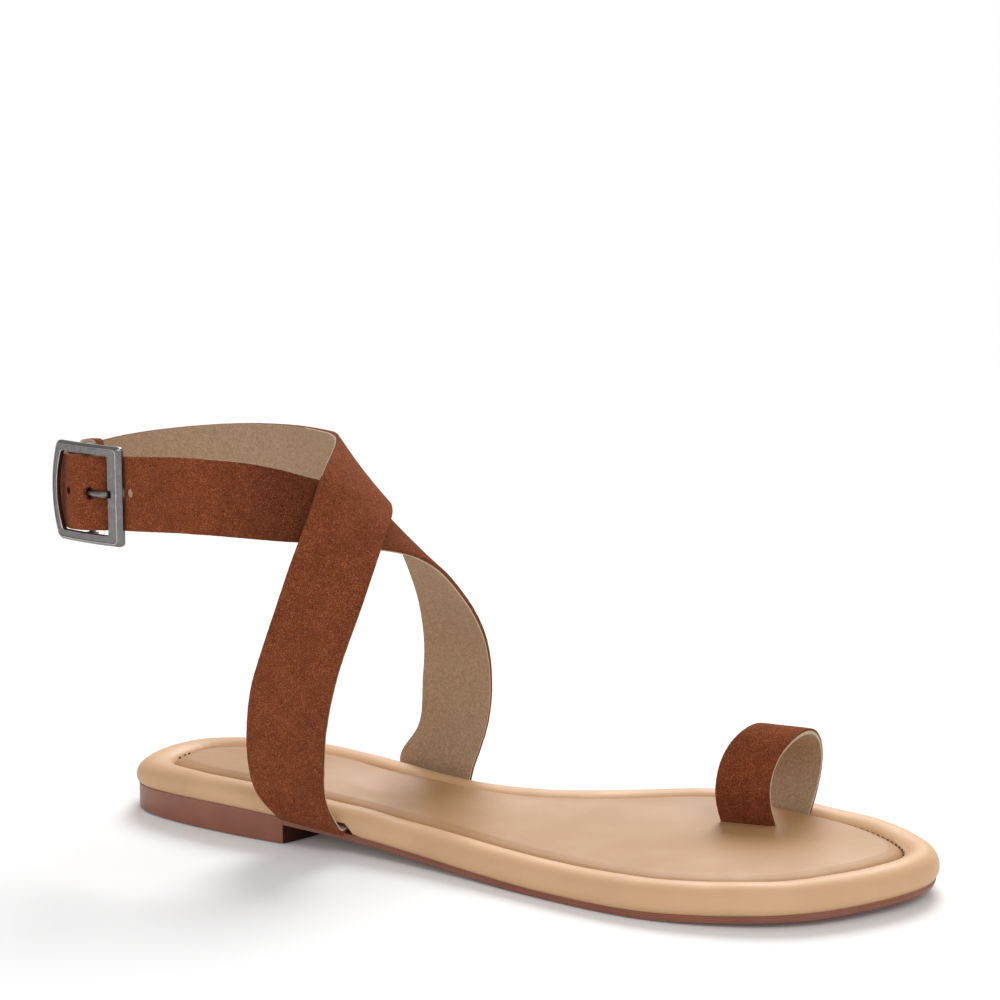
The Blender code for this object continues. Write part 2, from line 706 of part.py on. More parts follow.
def build_prong(material):
    """A pin that hooks round the bar, comes out through the strap and rests on the frame."""
    bar_x, bar_y, bar_z = bar_middle()
    turn_radius = BAR_RADIUS + CLEARANCE + PRONG_RADIUS
    route = []
    for degrees in range(170, -71, -30):
        turn = math.radians(degrees)
        route.append((bar_x - turn_radius * math.cos(turn), bar_y + turn_radius * math.sin(turn), bar_z))
    tip_x, tip_y = PRONG_TIP
    route.append((PRONG_HOLE[0], PRONG_HOLE[1], bar_z))
    route.append((tip_x - PRONG_BEND[0], tip_y + PRONG_BEND[1], bar_z))
    route.append((tip_x - PRONG_STRAIGHT, tip_y, bar_z))
    route.append((tip_x, tip_y, bar_z))
    data = bpy.data.curves.new("buckle_prong", "CURVE")
    data.dimensions = "3D"
    data.bevel_depth = PRONG_RADIUS
    data.bevel_resolution = 2
    data.use_fill_caps = True
    line = data.splines.new("POLY")
    line.points.add(len(route) - 1)
    for point, spot in zip(line.points, route):
        point.co = (*spot, 1.0)
    data.materials.append(material)
    prong = bpy.data.objects.new("buckle_prong", data)
    bpy.context.scene.collection.objects.link(prong)
    return prong


def build_keeper(material):
    """Closed band that holds the strap's tip against the other strap."""
    depth, height = KEEPER_OPENING
    mesh = bmesh.new()
    rings = []
    sizes = (
        (depth + 2.0 * KEEPER_THICKNESS, height + 2.0 * KEEPER_THICKNESS, 0.0016, 1.0),
        (depth, height, 0.0005, 1.0),
        (depth, height, 0.0005, -1.0),
        (depth + 2.0 * KEEPER_THICKNESS, height + 2.0 * KEEPER_THICKNESS, 0.0016, -1.0),
    )
    turn_cos, turn_sin = math.cos(KEEPER_TURN), math.sin(KEEPER_TURN)
    for wide, tall, corner, side in sizes:
        ring = []
        for out, up in rounded_rectangle(-wide / 2.0, wide / 2.0, tall / 2.0, corner):
            along = side * KEEPER_WIDTH / 2.0
            x = KEEPER_MIDDLE[0] + out * turn_cos - along * turn_sin
            y = KEEPER_MIDDLE[1] + out * turn_sin + along * turn_cos
            ring.append(mesh.verts.new((x, y, KEEPER_MIDDLE[2] + up)))
        rings.append(ring)
    for near, far in zip(rings, rings[1:] + rings[:1]):
        join_rings(mesh, near, far)
    return finish_object("keeper_loop", mesh, material)


def move_to_origin():
    """Moves every piece so that the origin is on the floor, under the middle of the whole."""
    bpy.context.view_layer.update()
    graph = bpy.context.evaluated_depsgraph_get()
    corners = []
    for made in bpy.data.objects:
        if made.hide_render:
            continue
        shape = made.evaluated_get(graph).to_mesh()
        points = np.empty(3 * len(shape.vertices))
        shape.vertices.foreach_get("co", points)
        corners.append(points.reshape(-1, 3))
    points = np.concatenate(corners)
    middle = (points.min(axis=0) + points.max(axis=0)) / 2.0
    for made in bpy.data.objects:
        made.location = (-middle[0], -middle[1], 0.0)
    bpy.context.view_layer.update()
    print("moved by", -middle[0], -middle[1])


clear_scene()
outsole_rubber = plain_material("outsole rubber", OUTSOLE_BROWN, 0.45)
footbed_leather = plain_material("footbed leather", FOOTBED_TAN, 0.50)
strap_suede = plain_material("strap suede", SUEDE_RUST, 0.95)
buckle_pewter = plain_material("buckle pewter", PEWTER, 0.35, metallic=1.0)
build_outsole(outsole_rubber)
build_rim(footbed_leather)
build_insole(footbed_leather)
build_crossed_straps(strap_suede)
build_toe_loop(strap_suede)
build_buckle_frame(buckle_pewter)
build_prong(buckle_pewter)
build_keeper(strap_suede)
move_to_origin()
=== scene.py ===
import math

import bmesh
import bpy
import numpy as np
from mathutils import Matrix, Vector, noise


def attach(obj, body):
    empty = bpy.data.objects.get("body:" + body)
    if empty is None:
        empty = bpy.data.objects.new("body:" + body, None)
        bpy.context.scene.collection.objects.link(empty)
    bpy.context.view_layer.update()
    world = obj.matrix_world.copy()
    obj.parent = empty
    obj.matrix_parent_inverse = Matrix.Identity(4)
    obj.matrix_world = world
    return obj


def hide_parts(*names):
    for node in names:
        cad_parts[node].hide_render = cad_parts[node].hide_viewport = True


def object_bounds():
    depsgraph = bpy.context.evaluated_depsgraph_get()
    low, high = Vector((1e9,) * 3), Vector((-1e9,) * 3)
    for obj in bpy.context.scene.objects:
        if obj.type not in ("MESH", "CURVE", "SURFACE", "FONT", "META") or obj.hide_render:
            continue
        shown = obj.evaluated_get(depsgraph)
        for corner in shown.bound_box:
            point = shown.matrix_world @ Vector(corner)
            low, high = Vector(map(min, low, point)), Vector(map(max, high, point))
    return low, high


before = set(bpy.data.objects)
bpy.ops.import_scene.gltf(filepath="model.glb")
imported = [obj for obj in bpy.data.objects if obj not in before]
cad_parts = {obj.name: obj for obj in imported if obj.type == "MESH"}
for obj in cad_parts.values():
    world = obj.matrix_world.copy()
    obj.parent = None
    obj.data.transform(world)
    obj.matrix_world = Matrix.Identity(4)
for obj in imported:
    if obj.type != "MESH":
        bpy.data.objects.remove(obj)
cad_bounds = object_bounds()

# Studio: a plain pale floor under soft boxes, seen a little from above, from the toe end and the
# lateral side. Places below are measured from the heel's back on the floor, with X towards the toe
# tip, so the whole sandal and its camera are set back by this amount.
HEEL_BACK = Vector((-0.114627, -0.002594, 0.0))
CAMERA_PLACE = Vector((0.3390, -0.4630, 0.1600))
CAMERA_TILT = (83.39, 0.0, 24.99)
CAMERA_LENS = 64.224
FLOOR_WIDTH = 6.0
FLOOR_DROP = 0.0002
FLOOR_GREY = 0.88
FLOOR_GLOW = 0.03
LAMP_AIM = 0.05
SOFT_BOXES = (
    # name, x, y, z, width, length, watts
    ("toe side fill", 0.75, -0.55, 0.85, 0.50, 0.50, 3.4),
    ("lateral fill", -0.35, -1.05, 0.50, 0.60, 0.60, 1.5),
)
KEY_FROM = (-0.20, 0.85, 0.90)
KEY_STRENGTH = 2.50
KEY_SPREAD = 34.0
SKY_ZENITH = 0.46
SKY_HORIZON = 0.58


def new_material(name):
    """A material with its node tree, shader and object coordinates in metres."""
    made = bpy.data.materials.new(name)
    made.use_nodes = True
    nodes = made.node_tree.nodes
    links = made.node_tree.links
    where = nodes.new("ShaderNodeTexCoord")
    return made, nodes, links, nodes["Principled BSDF"], where.outputs["Object"]


floor_paint, nodes, links, shader, place = new_material("floor paint")
shader.inputs["Base Color"].default_value = (FLOOR_GREY, FLOOR_GREY, FLOOR_GREY, 1.0)
shader.inputs["Roughness"].default_value = 0.85
shader.inputs["Emission Color"].default_value = (1.0, 1.0, 1.0, 1.0)
shader.inputs["Emission Strength"].default_value = FLOOR_GLOW
bpy.ops.mesh.primitive_plane_add(size=FLOOR_WIDTH, location=(0.0, 0.0, -FLOOR_DROP))
floor = bpy.context.active_object
floor.name = "floor"
floor.data.materials.append(floor_paint)


def hang_lamp(lamp, place, aim_height):
    """Hangs a lamp at a place, and turns it to a point over the middle of the floor."""
    box = bpy.data.objects.new(lamp.name, lamp)
    bpy.context.scene.collection.objects.link(box)
    box.location = place
    ahead = Vector((0.0, 0.0, aim_height)) - Vector(place)
    box.rotation_euler = ahead.to_track_quat("-Z", "Y").to_euler()


for name, x, y, z, width, length, watts in SOFT_BOXES:
    lamp = bpy.data.lights.new(name, "AREA")
    lamp.shape = "RECTANGLE"
    lamp.size = width
    lamp.size_y = length
    lamp.energy = watts
    hang_lamp(lamp, (x, y, z), LAMP_AIM)
lamp = bpy.data.lights.new("key", "SUN")
lamp.energy = KEY_STRENGTH
lamp.angle = math.radians(KEY_SPREAD)
hang_lamp(lamp, KEY_FROM, 0.0)

sky = bpy.data.worlds.new("studio")
sky.use_nodes = True
nodes, links = sky.node_tree.nodes, sky.node_tree.links
where = nodes.new("ShaderNodeTexCoord")
axes = nodes.new("ShaderNodeSeparateXYZ")
links.new(where.outputs["Generated"], axes.inputs["Vector"])
glow = nodes.new("ShaderNodeMapRange")
glow.inputs["To Min"].default_value = SKY_HORIZON
glow.inputs["To Max"].default_value = SKY_ZENITH
links.new(axes.outputs["Z"], glow.inputs["Value"])
ray = nodes.new("ShaderNodeLightPath")
seen = nodes.new("ShaderNodeMix")
seen.inputs["B"].default_value = 1.0
links.new(ray.outputs["Is Camera Ray"], seen.inputs["Factor"])
links.new(glow.outputs["Result"], seen.inputs["A"])
links.new(seen.outputs["Result"], nodes["Background"].inputs["Strength"])
nodes["Background"].inputs["Color"].default_value = (1.0, 1.0, 1.0, 1.0)
bpy.context.scene.world = sky
bpy.context.scene.view_settings.view_transform = "Standard"

lens = bpy.data.cameras.new("camera")
lens.sensor_width = 36.0
lens.lens = CAMERA_LENS
lens.clip_start = 0.01
camera = bpy.data.objects.new("camera", lens)
bpy.context.scene.collection.objects.link(camera)
camera.location = CAMERA_PLACE + HEEL_BACK
camera.rotation_euler = [math.radians(angle) for angle in CAMERA_TILT]
bpy.context.scene.camera = camera

# Outsole: one moulding of brown rubber, a thin sheet with arch and toe spring that thickens into
# a low heel. Its side has a fine moulded ridge, and its edges are a little broken.
SOLE_LENGTH = 0.250
STATIONS = 150
SHEET_COLUMNS = 12
SOLE_INSET = 0.0008
SHEET_THICKNESS = 0.0021
SHEET_TOP = 0.00004
OUTLINE = (
    # x, lateral y, medial y
    (0.000, 0.0005, 0.0005),
    (0.006, -0.0173, 0.0181),
    (0.020, -0.0248, 0.0251),
    (0.045, -0.0295, 0.0276),
    (0.070, -0.0315, 0.0251),
    (0.095, -0.0323, 0.0215),
    (0.120, -0.0357, 0.0242),
    (0.145, -0.0412, 0.0362),
    (0.165, -0.0452, 0.0475),
    (0.185, -0.0469, 0.0522),
    (0.205, -0.0438, 0.0456),
    (0.225, -0.0346, 0.0366),
    (0.240, -0.0190, 0.0250),
    (0.250, 0.0045, 0.0045),
)
SOLE_RISE = (
    # x, height of the outsole's upper face
    (0.000, 0.0077),
    (0.020, 0.0084),
    (0.040, 0.0087),
    (0.060, 0.0083),
    (0.075, 0.0073),
    (0.090, 0.0060),
    (0.105, 0.0046),
    (0.120, 0.0034),
    (0.135, 0.0025),
    (0.150, 0.0020),
    (0.165, 0.0020),
    (0.180, 0.0021),
    (0.200, 0.0028),
    (0.225, 0.0037),
    (0.250, 0.0046),
)
RIDGE_FADE = (0.070, 0.020)
SHEET_EDGE = (
    # extra inset, share of the sheet's thickness
    (0.00070, 0.00),
    (0.00025, 0.10),
    (0.00012, 0.42),
    (0.00000, 0.50),
    (0.00000, 0.62),
    (0.00018, 0.70),
    (0.00012, 1.00),
)
HEEL_PROUD = 0.00006
HEEL_TOP_GAP = 0.00003
HEEL_EDGE = (
    # extra inset, height
    (0.00060, 0.00000),
    (0.00015, 0.00030),
    (0.00000, 0.00090),
)
BREAST_MIDDLE = 0.0755
BREAST_BULGE = 8.6
BREAST_POINTS = 40
ROUND_POINTS = 160


def smooth_curve(knots, values, wanted):
    """A natural cubic curve through the values at the knots, read where it is wanted."""
    knots = np.asarray(knots, float)
    values = np.asarray(values, float)
    count = len(knots)
    step = np.diff(knots)
    slopes = np.diff(values, axis=0) / step.reshape(-1, *[1] * (values.ndim - 1))
    matrix = np.eye(count)
    right = np.zeros_like(values)
    for i in range(1, count - 1):
        matrix[i, i - 1] = step[i - 1]
        matrix[i, i] = 2.0 * (step[i - 1] + step[i])
        matrix[i, i + 1] = step[i]
        right[i] = 6.0 * (slopes[i] - slopes[i - 1])
    bend = np.linalg.solve(matrix, right)
    spot = np.clip(np.searchsorted(knots, wanted) - 1, 0, count - 2)
    after = np.asarray(wanted, float) - knots[spot]
    before = knots[spot + 1] - np.asarray(wanted, float)
    width = step[spot]
    if values.ndim > 1:
        after, before, width = after[:, None], before[:, None], width[:, None]
    return (
        (bend[spot] * before**3 + bend[spot + 1] * after**3) / (6.0 * width)
        + (values[spot] / width - bend[spot] * width / 6.0) * before
        + (values[spot + 1] / width - bend[spot + 1] * width / 6.0) * after
    )


def walk_along(points):
    """Distance walked from the first point of a line to each of its points."""
    steps = np.linalg.norm(np.diff(points, axis=0), axis=1)
    return np.concatenate([[0.0], np.cumsum(steps)])


def sole_height(x):
    """Height of the outsole's upper face."""
    rise = np.array(SOLE_RISE)
    return smooth_curve(rise[:, 0], rise[:, 1], np.clip(x, 0.0, SOLE_LENGTH))


def sole_loop(inset):
    """The sole's outline moved inward, as a closed loop with equal x on both sides."""
    rows = np.array(OUTLINE)
    angle = np.arccos(1.0 - 2.0 * rows[:, 0] / SOLE_LENGTH)
    lap = 2.0 * math.pi
    around = np.concatenate([angle, lap - angle[-2:0:-1]])
    reach = np.concatenate([rows[:, 2], rows[-2:0:-1, 1]])
    around = np.concatenate([around[-4:] - lap, around, around[:5] + lap])
    reach = np.concatenate([reach[-4:], reach, reach[:5]])
    turn = np.arange(2 * STATIONS) * math.pi / STATIONS
    along = SOLE_LENGTH * (1.0 - np.cos(turn)) / 2.0
    loop = np.stack([along, smooth_curve(around, reach, turn)], axis=1)
    run = np.roll(loop, -1, axis=0) - np.roll(loop, 1, axis=0)
    run /= np.linalg.norm(run, axis=1)[:, None]
    inward = np.stack([run[:, 1], -run[:, 0]], axis=1)
    return loop + inward * np.broadcast_to(inset, len(loop))[:, None]


def join_rings(mesh, first, second):
    """Faces between two closed rings of points."""
    made = []
    for i in range(len(first)):
        j = (i + 1) % len(first)
        made.append(mesh.faces.new((first[i], first[j], second[j], second[i])))
    return made


def lay_cap(mesh, ring, height_at, columns):
    """Closes a ring with rows of faces from side to side, which follow the height function."""
    count = len(ring)
    half = count // 2
    rows = [[ring[0]]]
    for i in range(1, half):
        low, high = ring[count - i], ring[i]
        row = [low]
        for k in range(1, columns):
            spot = low.co.lerp(high.co, k / columns)
            row.append(mesh.verts.new((spot.x, spot.y, height_at(spot.x, spot.y))))
        rows.append(row + [high])
    rows.append([ring[half]])
    for near, far in zip(rows, rows[1:]):
        for k in range(columns):
            corners = [near[min(k, len(near) - 1)], near[min(k + 1, len(near) - 1)]]
            corners += [far[min(k + 1, len(far) - 1)], far[min(k, len(far) - 1)]]
            mesh.faces.new(list(dict.fromkeys(corners)))


def make_piece(name, mesh, materials, node, sharp=35.0):
    """Sets a mesh back to the sandal's place, and makes it a piece that stands for a node."""
    bmesh.ops.recalc_face_normals(mesh, faces=mesh.faces)
    bmesh.ops.translate(mesh, vec=HEEL_BACK, verts=mesh.verts)
    data = bpy.data.meshes.new(name)
    mesh.to_mesh(data)
    mesh.free()
    for material in materials:
        data.materials.append(material)
    data.shade_smooth()
    data.set_sharp_from_angle(angle=math.radians(sharp))
    piece = bpy.data.objects.new(name, data)
    bpy.context.scene.collection.objects.link(piece)
    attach(piece, "root")
    if node:
        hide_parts(node)
    return piece


def effect_group(name, inputs, outputs):
    """An empty shader node group with named number and colour sockets."""
    group = bpy.data.node_groups.new(name, "ShaderNodeTree")
    kinds = {"number": "NodeSocketFloat", "colour": "NodeSocketColor", "vector": "NodeSocketVector"}
    for label, kind, value in inputs:
        socket = group.interface.new_socket(name=label, in_out="INPUT", socket_type=kinds[kind])
        if value is not None:
            socket.default_value = value
    for label, kind in outputs:
        group.interface.new_socket(name=label, in_out="OUTPUT", socket_type=kinds[kind])
    return group, group.nodes.new("NodeGroupInput"), group.nodes.new("NodeGroupOutput")


def add_noise(nodes, links, place, scale, detail=3.0, roughness=0.55, distortion=0.0):
    """A noise texture at a scale given in bumps for each metre."""
    made = nodes.new("ShaderNodeTexNoise")
    made.inputs["Scale"].default_value = scale
    made.inputs["Detail"].default_value = detail
    made.inputs["Roughness"].default_value = roughness
    made.inputs["Distortion"].default_value = distortion
    links.new(place, made.inputs["Vector"])
    return made.outputs["Fac"]


def add_ramp(nodes, links, factor, stops):
    """A colour ramp from (position, colour) stops."""
    made = nodes.new("ShaderNodeValToRGB")
    band = made.color_ramp
    while len(band.elements) < len(stops):
        band.elements.new(0.5)
    for element, (position, colour) in zip(band.elements, stops):
        element.position = position
        element.color = (*colour, 1.0)
    links.new(factor, made.inputs["Fac"])
    return made.outputs["Color"]


# Soft patches of lighter and darker colour, as in dyed leather and moulded rubber.
mottle, group_in, group_out = effect_group(
    "mottle",
    (
        ("Place", "vector", None),
        ("Colour", "colour", (0.5, 0.5, 0.5, 1.0)),
        ("Patch Colour", "colour", (0.4, 0.4, 0.4, 1.0)),
        ("Scale", "number", 60.0),
        ("Amount", "number", 0.5),
    ),
    (("Colour", "colour"), ("Mask", "number")),
)
patch = mottle.nodes.new("ShaderNodeTexNoise")
patch.inputs["Detail"].default_value = 4.0
mottle.links.new(group_in.outputs["Place"], patch.inputs["Vector"])
mottle.links.new(group_in.outputs["Scale"], patch.inputs["Scale"])
spread = mottle.nodes.new("ShaderNodeMapRange")
spread.inputs["From Min"].default_value = 0.35
spread.inputs["From Max"].default_value = 0.65
mottle.links.new(patch.outputs["Fac"], spread.inputs["Value"])
share = mottle.nodes.new("ShaderNodeMath")
share.operation = "MULTIPLY"
mottle.links.new(spread.outputs["Result"], share.inputs[0])
mottle.links.new(group_in.outputs["Amount"], share.inputs[1])
blend = mottle.nodes.new("ShaderNodeMix")
blend.data_type = "RGBA"
mottle.links.new(share.outputs["Value"], blend.inputs["Factor"])
mottle.links.new(group_in.outputs["Colour"], blend.inputs["A"])
mottle.links.new(group_in.outputs["Patch Colour"], blend.inputs["B"])
mottle.links.new(blend.outputs["Result"], group_out.inputs["Colour"])
mottle.links.new(share.outputs["Value"], group_out.inputs["Mask"])


def place_group(nodes, links, group, place, **values):
    """Puts an effect group into a material, with its place linked and its own values."""
    made = nodes.new("ShaderNodeGroup")
    made.node_tree = group
    links.new(place, made.inputs["Place"])
    for label, value in values.items():
        made.inputs[label.replace("_", " ")].default_value = value
    return made


def dye(nodes, links, shader, place, colour, patch_colour, scale, amount):
    """Colours a shader with soft patches of a second tone, and gives back their mask."""
    tone = place_group(
        nodes, links, mottle, place,
        Colour=(*colour, 1.0), Patch_Colour=(*patch_colour, 1.0), Scale=scale, Amount=amount,
    )
    links.new(tone.outputs["Colour"], shader.inputs["Base Color"])
    return tone.outputs["Mask"]


def add_bump(nodes, links, shader, height, strength, distance):
    """Roughens a shader's surface by a height."""
    bump = nodes.new("ShaderNodeBump")
    bump.inputs["Strength"].default_value = strength
    bump.inputs["Distance"].default_value = distance
    links.new(height, bump.inputs["Height"])
    links.new(bump.outputs["Normal"], shader.inputs["Normal"])


outsole_rubber, nodes, links, shader, place = new_material("outsole rubber")
dye(nodes, links, shader, place, (0.280, 0.098, 0.056), (0.230, 0.077, 0.044), 90.0, 0.7)
shader.inputs["Roughness"].default_value = 0.42
pores = add_noise(nodes, links, place, 2600.0, 2.0)
add_bump(nodes, links, shader, pores, 0.25, 0.00005)

# The heel's breast faces the low space under the arch, so its rubber is painted near black: painted
# shade.
breast_shade_rubber, nodes, links, shader, place = new_material("breast rubber with painted shade")
dye(nodes, links, shader, place, (0.052, 0.015, 0.008), (0.036, 0.010, 0.006), 120.0, 0.7)
shader.inputs["Roughness"].default_value = 0.7
shader.inputs["Specular IOR Level"].default_value = 0.15

mesh = bmesh.new()
rings = []
for extra, share_up in SHEET_EDGE:
    ridge_on = np.clip((sole_loop(0.0)[:, 0] - RIDGE_FADE[0]) / RIDGE_FADE[1], 0.0, 1.0)
    loop = sole_loop(SOLE_INSET + extra * ridge_on)
    top = sole_height(loop[:, 0]) - SHEET_TOP
    floor_side = np.maximum(sole_height(loop[:, 0]) - SHEET_THICKNESS, 0.0)
    level = floor_side + (top - floor_side) * share_up
    rings.append([mesh.verts.new((x, y, z)) for (x, y), z in zip(loop, level)])
for first, second in zip(rings, rings[1:]):
    join_rings(mesh, first, second)
lay_cap(
    mesh, rings[0],
    lambda x, y: max(float(sole_height(x)) - SHEET_THICKNESS, 0.0), SHEET_COLUMNS,
)
lay_cap(mesh, rings[-1], lambda x, y: float(sole_height(x)) - SHEET_TOP, SHEET_COLUMNS)

rings = []
for extra, height in HEEL_EDGE + ((0.0, None),):
    loop = sole_loop(SOLE_INSET - HEEL_PROUD + extra)
    loop = np.roll(loop, STATIONS, axis=0)
    breast = BREAST_MIDDLE - extra
    inside = loop[:, 0] < breast - BREAST_BULGE * loop[:, 1] ** 2
    side = loop[inside]
    lateral_y, medial_y = side[0][1], side[-1][1]
    ys = np.linspace(medial_y, lateral_y, BREAST_POINTS + 2)
    front = np.stack([breast - BREAST_BULGE * ys**2, ys], axis=1)
    points = np.concatenate([side[1:-1], front])
    if height is None:
        level = sole_height(points[:, 0]) - SHEET_TOP - HEEL_TOP_GAP
    else:
        level = np.full(len(points), height)
    rings.append((points, level))
placed = []
for points, level in rings:
    walked = walk_along(points)
    corner = len(points) - BREAST_POINTS - 2
    share_round = np.concatenate(
        [
            np.linspace(0.0, walked[corner], ROUND_POINTS, endpoint=False),
            np.linspace(walked[corner], walked[-1], BREAST_POINTS),
        ]
    )
    xs = np.interp(share_round, walked, points[:, 0])
    ys = np.interp(share_round, walked, points[:, 1])
    zs = np.interp(share_round, walked, level)
    placed.append([mesh.verts.new(spot) for spot in zip(xs, ys, zs)])
# The breast's faces take the rubber with painted shade.
for first, second in zip(placed, placed[1:]):
    for face in join_rings(mesh, first, second)[ROUND_POINTS:-1]:
        face.material_index = 1
mesh.faces.new(placed[0])
mesh.faces.new(placed[-1])
rubbers = [outsole_rubber, breast_shade_rubber]
make_piece("moulded_outsole", mesh, rubbers, "outsole", sharp=30.0)

# Rim of the footbed: a foam roll wrapped in smooth tan leather. The leather is stitched down in
# the groove beside the insole, which puckers it a little at each stitch round toe and heel.
RIM_PROFILE = (
    # inset from the outline, height over the outsole
    (0.0008, 0.00004),
    (0.0002, 0.0009),
    (0.0000, 0.0027),
    (0.0004, 0.0043),
    (0.0015, 0.0057),
    (0.0032, 0.0066),
    (0.0050, 0.0068),
    (0.0070, 0.0064),
    (0.0086, 0.0055),
    (0.0094, 0.0046),
    (0.0095, 0.0026),
)
RIM_STEPS = 34
RIM_COLUMNS = 24
ROLL_WIDTH = 0.0095
# Widening round the heel, and its reach from the heel's back.
HEEL_ROLL = (0.0022, 0.022)
# Fullness of the forefoot, where it starts, and how far it takes to come.
FORE_ROLL = (0.10, 0.10, 0.07)
# Dent beside the lateral strap's root: x, reach, depth, and the height from which it is full.
STRAP_DENT = (0.0935, 0.009, 0.0008, 0.004)
STITCH_PITCH = 0.0024
PUCKER = 0.00022
PUCKER_REACH = (0.012, 0.022)
SEAM_INSET = 0.0082
SEAM_REACH = 0.0016
# Unevenness of the roll: how much, bumps for each metre in plan, and in the section.
RIM_WAVES = ((0.00018, 90.0, 160.0), (0.00022, 38.0))
RIM_WAVE_SEED = 5.0
WAVE_FROM = 0.003
WAVE_INSET = 0.0088
STRAP_TUCKS = (
    # rear x, front x, side (-1 lateral, 1 medial)
    (0.0693, 0.0900, -1.0),
    (0.0772, 0.1013, 1.0),
)
TUCK_FROM = 0.012
TUCK_HEIGHT = 0.0031
TUCK_BLEND = 0.0016

leather_grain, group_in, group_out = effect_group(
    "leather grain",
    (("Place", "vector", None), ("Cells", "number", 1400.0), ("Wrinkles", "number", 260.0)),
    (("Height", "number"),),
)
cells = leather_grain.nodes.new("ShaderNodeTexVoronoi")
cells.feature = "SMOOTH_F1"
leather_grain.links.new(group_in.outputs["Place"], cells.inputs["Vector"])
leather_grain.links.new(group_in.outputs["Cells"], cells.inputs["Scale"])
wrinkle = leather_grain.nodes.new("ShaderNodeTexNoise")
wrinkle.inputs["Detail"].default_value = 5.0
leather_grain.links.new(group_in.outputs["Place"], wrinkle.inputs["Vector"])
leather_grain.links.new(group_in.outputs["Wrinkles"], wrinkle.inputs["Scale"])
joined = leather_grain.nodes.new("ShaderNodeMath")
joined.operation = "MULTIPLY_ADD"
joined.inputs[1].default_value = 0.35
leather_grain.links.new(cells.outputs["Distance"], joined.inputs[0])
leather_grain.links.new(wrinkle.outputs["Fac"], joined.inputs[2])
leather_grain.links.new(joined.outputs["Value"], group_out.inputs["Height"])


def tan_leather(name, colour, patch_colour, roughness, gloss):
    """Smooth vegetable tanned lining leather with soft patches and a fine grain."""
    made, nodes, links, shader, place = new_material(name)
    patches = dye(nodes, links, shader, place, colour, patch_colour, 45.0, 0.6)
    sheen = nodes.new("ShaderNodeMapRange")
    sheen.inputs["To Min"].default_value = roughness - 0.05
    sheen.inputs["To Max"].default_value = roughness + 0.08
    links.new(patches, sheen.inputs["Value"])
    links.new(sheen.outputs["Result"], shader.inputs["Roughness"])
    shader.inputs["Coat Weight"].default_value = gloss
    shader.inputs["Coat Roughness"].default_value = 0.42
    shader.inputs["Specular IOR Level"].default_value = 0.36
    grain = place_group(nodes, links, leather_grain, place, Cells=1500.0, Wrinkles=240.0)
    add_bump(nodes, links, shader, grain.outputs["Height"], 0.45, 0.00018)
    return made


rim_leather = tan_leather(
    "rim leather", (0.660, 0.404, 0.222), (0.562, 0.332, 0.176), roughness=0.56, gloss=0.08
)


def tuck_room(x, y):
    """How far the rim is lifted off the outsole by a strap's tucked end."""
    room = 0.0
    for rear, front, side in STRAP_TUCKS:
        if y * side > TUCK_FROM:
            inside = min(x - rear, front - x) / TUCK_BLEND + 1.0
            room = max(room, TUCK_HEIGHT * min(max(inside, 0.0), 1.0))
    return room


def roll_loop(inset):
    """The outline at an inset inside the rim, which is wider round the heel."""
    x = sole_loop(0.0)[:, 0]
    widened, reach = HEEL_ROLL
    return sole_loop(inset * (1.0 + widened / ROLL_WIDTH * np.exp(-((x / reach) ** 2))))


def roll_height(x):
    """The rim and its pad are a little fuller in the forefoot."""
    fuller, start, reach = FORE_ROLL
    return 1.0 + fuller * min(max((x - start) / reach, 0.0), 1.0)


def fine_profile(rows, steps):
    """Rows read along a smooth curve through a profile, at equal distances."""
    rows = np.array(rows)
    walked = walk_along(rows)
    return smooth_curve(walked, rows, np.linspace(0.0, walked[-1], steps))


fine = fine_profile(RIM_PROFILE, RIM_STEPS)
dent_x, dent_reach, dent_depth, dent_full = STRAP_DENT
(wave_small, wave_plan, wave_section), (wave_large, wave_long) = RIM_WAVES
stitch_loop = roll_loop(RIM_PROFILE[-2][0])
stitch_run = walk_along(stitch_loop)
mesh = bmesh.new()
rings = []
for inset, height in fine:
    loop = roll_loop(inset)
    ring = []
    for (x, y), run in zip(loop, stitch_run):
        if y < 0.0:
            pressed = math.exp(-(((x - dent_x) / dent_reach) ** 2)) * min(height / dent_full, 1.0)
            y += dent_depth * pressed
        at_heel = math.exp(-x / PUCKER_REACH[0])
        at_toe = math.exp(-(SOLE_LENGTH - x) / PUCKER_REACH[1])
        near_seam = math.exp(-(((inset - SEAM_INSET) / SEAM_REACH) ** 2))
        pucker = PUCKER * max(at_heel, at_toe) * near_seam
        pucker *= math.sin(math.pi * run / STITCH_PITCH) ** 2
        spot = Vector((x * wave_plan, y * wave_plan, inset * wave_section))
        wave = wave_small * noise.noise(spot)
        wave += wave_large * noise.noise(Vector((x * wave_long, y * wave_long, RIM_WAVE_SEED)))
        wave *= min(height / WAVE_FROM, 1.0) * (inset < WAVE_INSET)
        rise = height * roll_height(x) - pucker + wave
        ring.append(mesh.verts.new((x, y, float(sole_height(x)) + max(rise, tuck_room(x, y)))))
    rings.append(ring)
for first, second in zip(rings, rings[1:]):
    join_rings(mesh, first, second)
for ring, lift in ((rings[0], fine[0][1]), (rings[-1], fine[-1][1])):
    lay_cap(
        mesh, ring,
        lambda x, y: float(sole_height(x)) + max(lift, tuck_room(x, y)), RIM_COLUMNS,
    )
rim = make_piece("rolled_rim", mesh, [rim_leather], "padded_rim", 60.0)

# Insole: a thin foam pad covered with the same leather, set inside the rim. It is hollowed by
# heel and ball of the foot, raised under the arch, and slit for the ends of the toe loop.
INSOLE_PROFILE = (
    # inset from the outline, height over the outsole
    (0.0098, 0.0029),
    (0.0098, 0.0044),
    (0.0106, 0.0052),
    (0.0119, 0.0057),
    (0.0136, 0.0060),
)
INSOLE_STEPS = 16
INSOLE_COLUMNS = 64
PAD_INSET = 0.0098
PAD_EDGE = 0.0038
INSOLE_DOME = 0.0012
